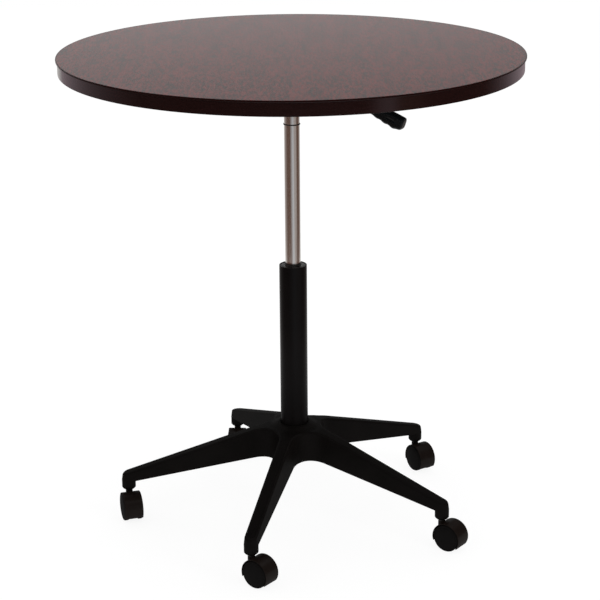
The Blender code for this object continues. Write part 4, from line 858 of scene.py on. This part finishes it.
# The screens stand for a room: white and grey walls at the sides, brown curtains with a window
# between them in front, a dark cloth at the height of the lever with mauve drapes at its ends and
# in a gap to the window's right, and a white reflector level with the tabletop's edge. Each is a
# chain of plain colours by the angle round the table in degrees, atan2(x, -y), which is 0 in front
# and grows to the right.
for name, low, high, stops in (
        ("studio_low_skirt", 0.0, 0.17, (
            (-150, WHITE_WALL), (-125, WHITE_WALL), (-100, GREY_WALL), (-90, BROWN_CURTAIN),
            (-20, BROWN_CURTAIN), (8, WINDOW), (22, WINDOW), (30, GREY_WALL), (45, GREY_WALL),
            (65, BROWN_CURTAIN), (95, BROWN_CURTAIN), (130, WHITE_WALL), (150, WHITE_WALL))),
        ("studio_window_screen", 0.17, 0.62, (
            (-150, WHITE_WALL), (-125, GREY_WALL), (-75, BROWN_CURTAIN), (-30, BROWN_CURTAIN), (8, WINDOW),
            (22, WINDOW), (30, GREY_WALL), (56, GREY_WALL), (75, BROWN_CURTAIN), (105, BROWN_CURTAIN),
            (125, GREY_WALL), (150, GREY_WALL))),
        ("studio_dark_valance", 0.62, 0.78, (
            (-150, WHITE_WALL), (-130, WHITE_WALL), (-125, MAUVE_DRAPE), (-105, MAUVE_DRAPE),
            (-60, DARK_CLOTH), (28, DARK_CLOTH), (34, MAUVE_DRAPE), (38, MAUVE_DRAPE), (40, BROWN_CURTAIN),
            (46, BROWN_CURTAIN), (54, DARK_CLOTH), (85, DARK_CLOTH), (112, MAUVE_DRAPE),
            (135, MAUVE_DRAPE), (150, BROWN_CURTAIN))),
        ("studio_high_reflector", 0.78, 0.90, (
            (-150, WHITE_WALL), (-117, DARK_CLOTH), (-72, DARK_CLOTH), (-64, REFLECTOR), (-48, REFLECTOR),
            (-42, DARK_CLOTH), (117, DARK_CLOTH), (150, GREY_WALL)))):
    around = np.radians(np.linspace(-SCREEN_SPAN, SCREEN_SPAN, 101))
    ring = np.stack([SCREEN_RADIUS * np.sin(around), -SCREEN_RADIUS * np.cos(around)], -1)
    rows = np.stack([np.concatenate([ring, np.full((101, 1), z)], -1) for z in (low, high)])
    first = np.arange(100)
    screen_mesh = bpy.data.meshes.new(name)
    screen_mesh.from_pydata(rows.reshape(-1, 3).tolist(), [],
                            np.stack([first, first + 1, first + 102, first + 101], -1).tolist())
    screen = bpy.data.objects.new(name, screen_mesh)
    bpy.context.scene.collection.objects.link(screen)
    screen.visible_camera = screen.visible_diffuse = screen.visible_shadow = False
    screen.visible_transmission = False
    cloth, tree, shader, where = new_finish(name)
    place = add_node(tree, "ShaderNodeSeparateXYZ", {"Vector": where}).outputs
    front = add_node(tree, "ShaderNodeMath", {0: place["Y"], 1: -1.0}, operation="MULTIPLY")
    angle = add_node(tree, "ShaderNodeMath", {
        0: place["X"], 1: front.outputs["Value"]}, operation="ARCTAN2")
    share = add_node(tree, "ShaderNodeMapRange", {
        "Value": angle.outputs["Value"], "From Min": around[0], "From Max": around[-1]})
    ramp = add_node(tree, "ShaderNodeValToRGB", {"Fac": share.outputs["Result"]})
    bands = ramp.color_ramp.elements
    bands.remove(bands[1])
    for degrees, code in stops[1:]:
        bands.new((degrees + SCREEN_SPAN) / (2 * SCREEN_SPAN)).color = linear(code)
    bands[0].color = linear(stops[0][1])
    light = add_node(tree, "ShaderNodeEmission", {"Color": ramp.outputs["Color"]})
    set_sockets(tree.nodes["Material Output"], {"Surface": light.outputs["Emission"]})
    screen_mesh.materials.append(cloth)

# A tall white sheet behind the table, which only mirroring surfaces show: it is brightest low down
# and to the left, so the tabletop's sheen fades towards the viewer and to the right.
sheet_mesh = bpy.data.meshes.new("studio_back_sheet")
sheet_mesh.from_pydata([(-4, 3, 0), (4, 3, 0), (4, 3, 4), (-4, 3, 4)], [], [(0, 1, 2, 3)])
back_sheet = bpy.data.objects.new("studio_back_sheet", sheet_mesh)
bpy.context.scene.collection.objects.link(back_sheet)
back_sheet.visible_camera = back_sheet.visible_diffuse = back_sheet.visible_shadow = False
back_sheet.visible_transmission = False
cloth, tree, shader, where = new_finish("studio_back_sheet")
place = add_node(tree, "ShaderNodeSeparateXYZ", {"Vector": where}).outputs
fade_up = add_node(tree, "ShaderNodeMapRange", {
    "Value": place["Z"], "From Min": 1.0, "From Max": 2.2, "To Min": 1.15, "To Max": 0.30})
fade_across = add_node(tree, "ShaderNodeMapRange", {
    "Value": place["X"], "From Min": -1.2, "From Max": 1.2, "To Min": 0.12, "To Max": -0.12})
glow = add_node(tree, "ShaderNodeMath", {
    0: fade_up.outputs["Result"], 1: fade_across.outputs["Result"]}, operation="ADD")
light = add_node(tree, "ShaderNodeEmission", {
    "Color": (1.0, 1.0, 1.0, 1.0), "Strength": glow.outputs["Value"]})
set_sockets(tree.nodes["Material Output"], {"Surface": light.outputs["Emission"]})
sheet_mesh.materials.append(cloth)

# Of the two lamps only the overhead one shows in reflections. The other fills the right side.
for name, place, turn, size, power in (
        ("overhead_softbox", (0.0, 0.2, 3.2), (0.0, 0.0, 0.0), 1.4, 24.0),
        ("right_softbox", (2.2, -1.9, 1.3), (np.radians(80), 0.0, np.radians(48)), 0.7, 10.0)):
    lamp = bpy.data.lights.new(name, "AREA")
    lamp.size = size
    lamp.energy = power
    holder = bpy.data.objects.new(name, lamp)
    holder.location = place
    holder.rotation_euler = turn
    holder.visible_glossy = name == "overhead_softbox"
    bpy.context.scene.collection.objects.link(holder)

# Camera: a long lens at standing height, tilted a hair about its line of sight, as the photograph
# was taken.
camera_data = bpy.data.cameras.new("photograph_camera")
camera_data.sensor_width = 36.0
camera_data.lens = 108.85
camera = bpy.data.objects.new("photograph_camera", camera_data)
bpy.context.scene.collection.objects.link(camera)
right = np.array([np.cos(CAMERA_YAW), np.sin(CAMERA_YAW), 0])
level = np.array([-np.sin(CAMERA_YAW), np.cos(CAMERA_YAW), 0])
ahead = level * np.cos(CAMERA_PITCH) - np.array([0, 0, 1]) * np.sin(CAMERA_PITCH)
upward = np.cross(right, ahead)
rolled_right = right * np.cos(CAMERA_ROLL) - upward * np.sin(CAMERA_ROLL)
rolled_up = right * np.sin(CAMERA_ROLL) + upward * np.cos(CAMERA_ROLL)
placed = np.eye(4)
placed[:3] = np.stack([rolled_right, rolled_up, -ahead, CAMERA_PLACE], -1)
camera.matrix_world = Matrix(placed.tolist())
bpy.context.scene.camera = camera
bpy.context.scene.view_settings.view_transform = "Standard"
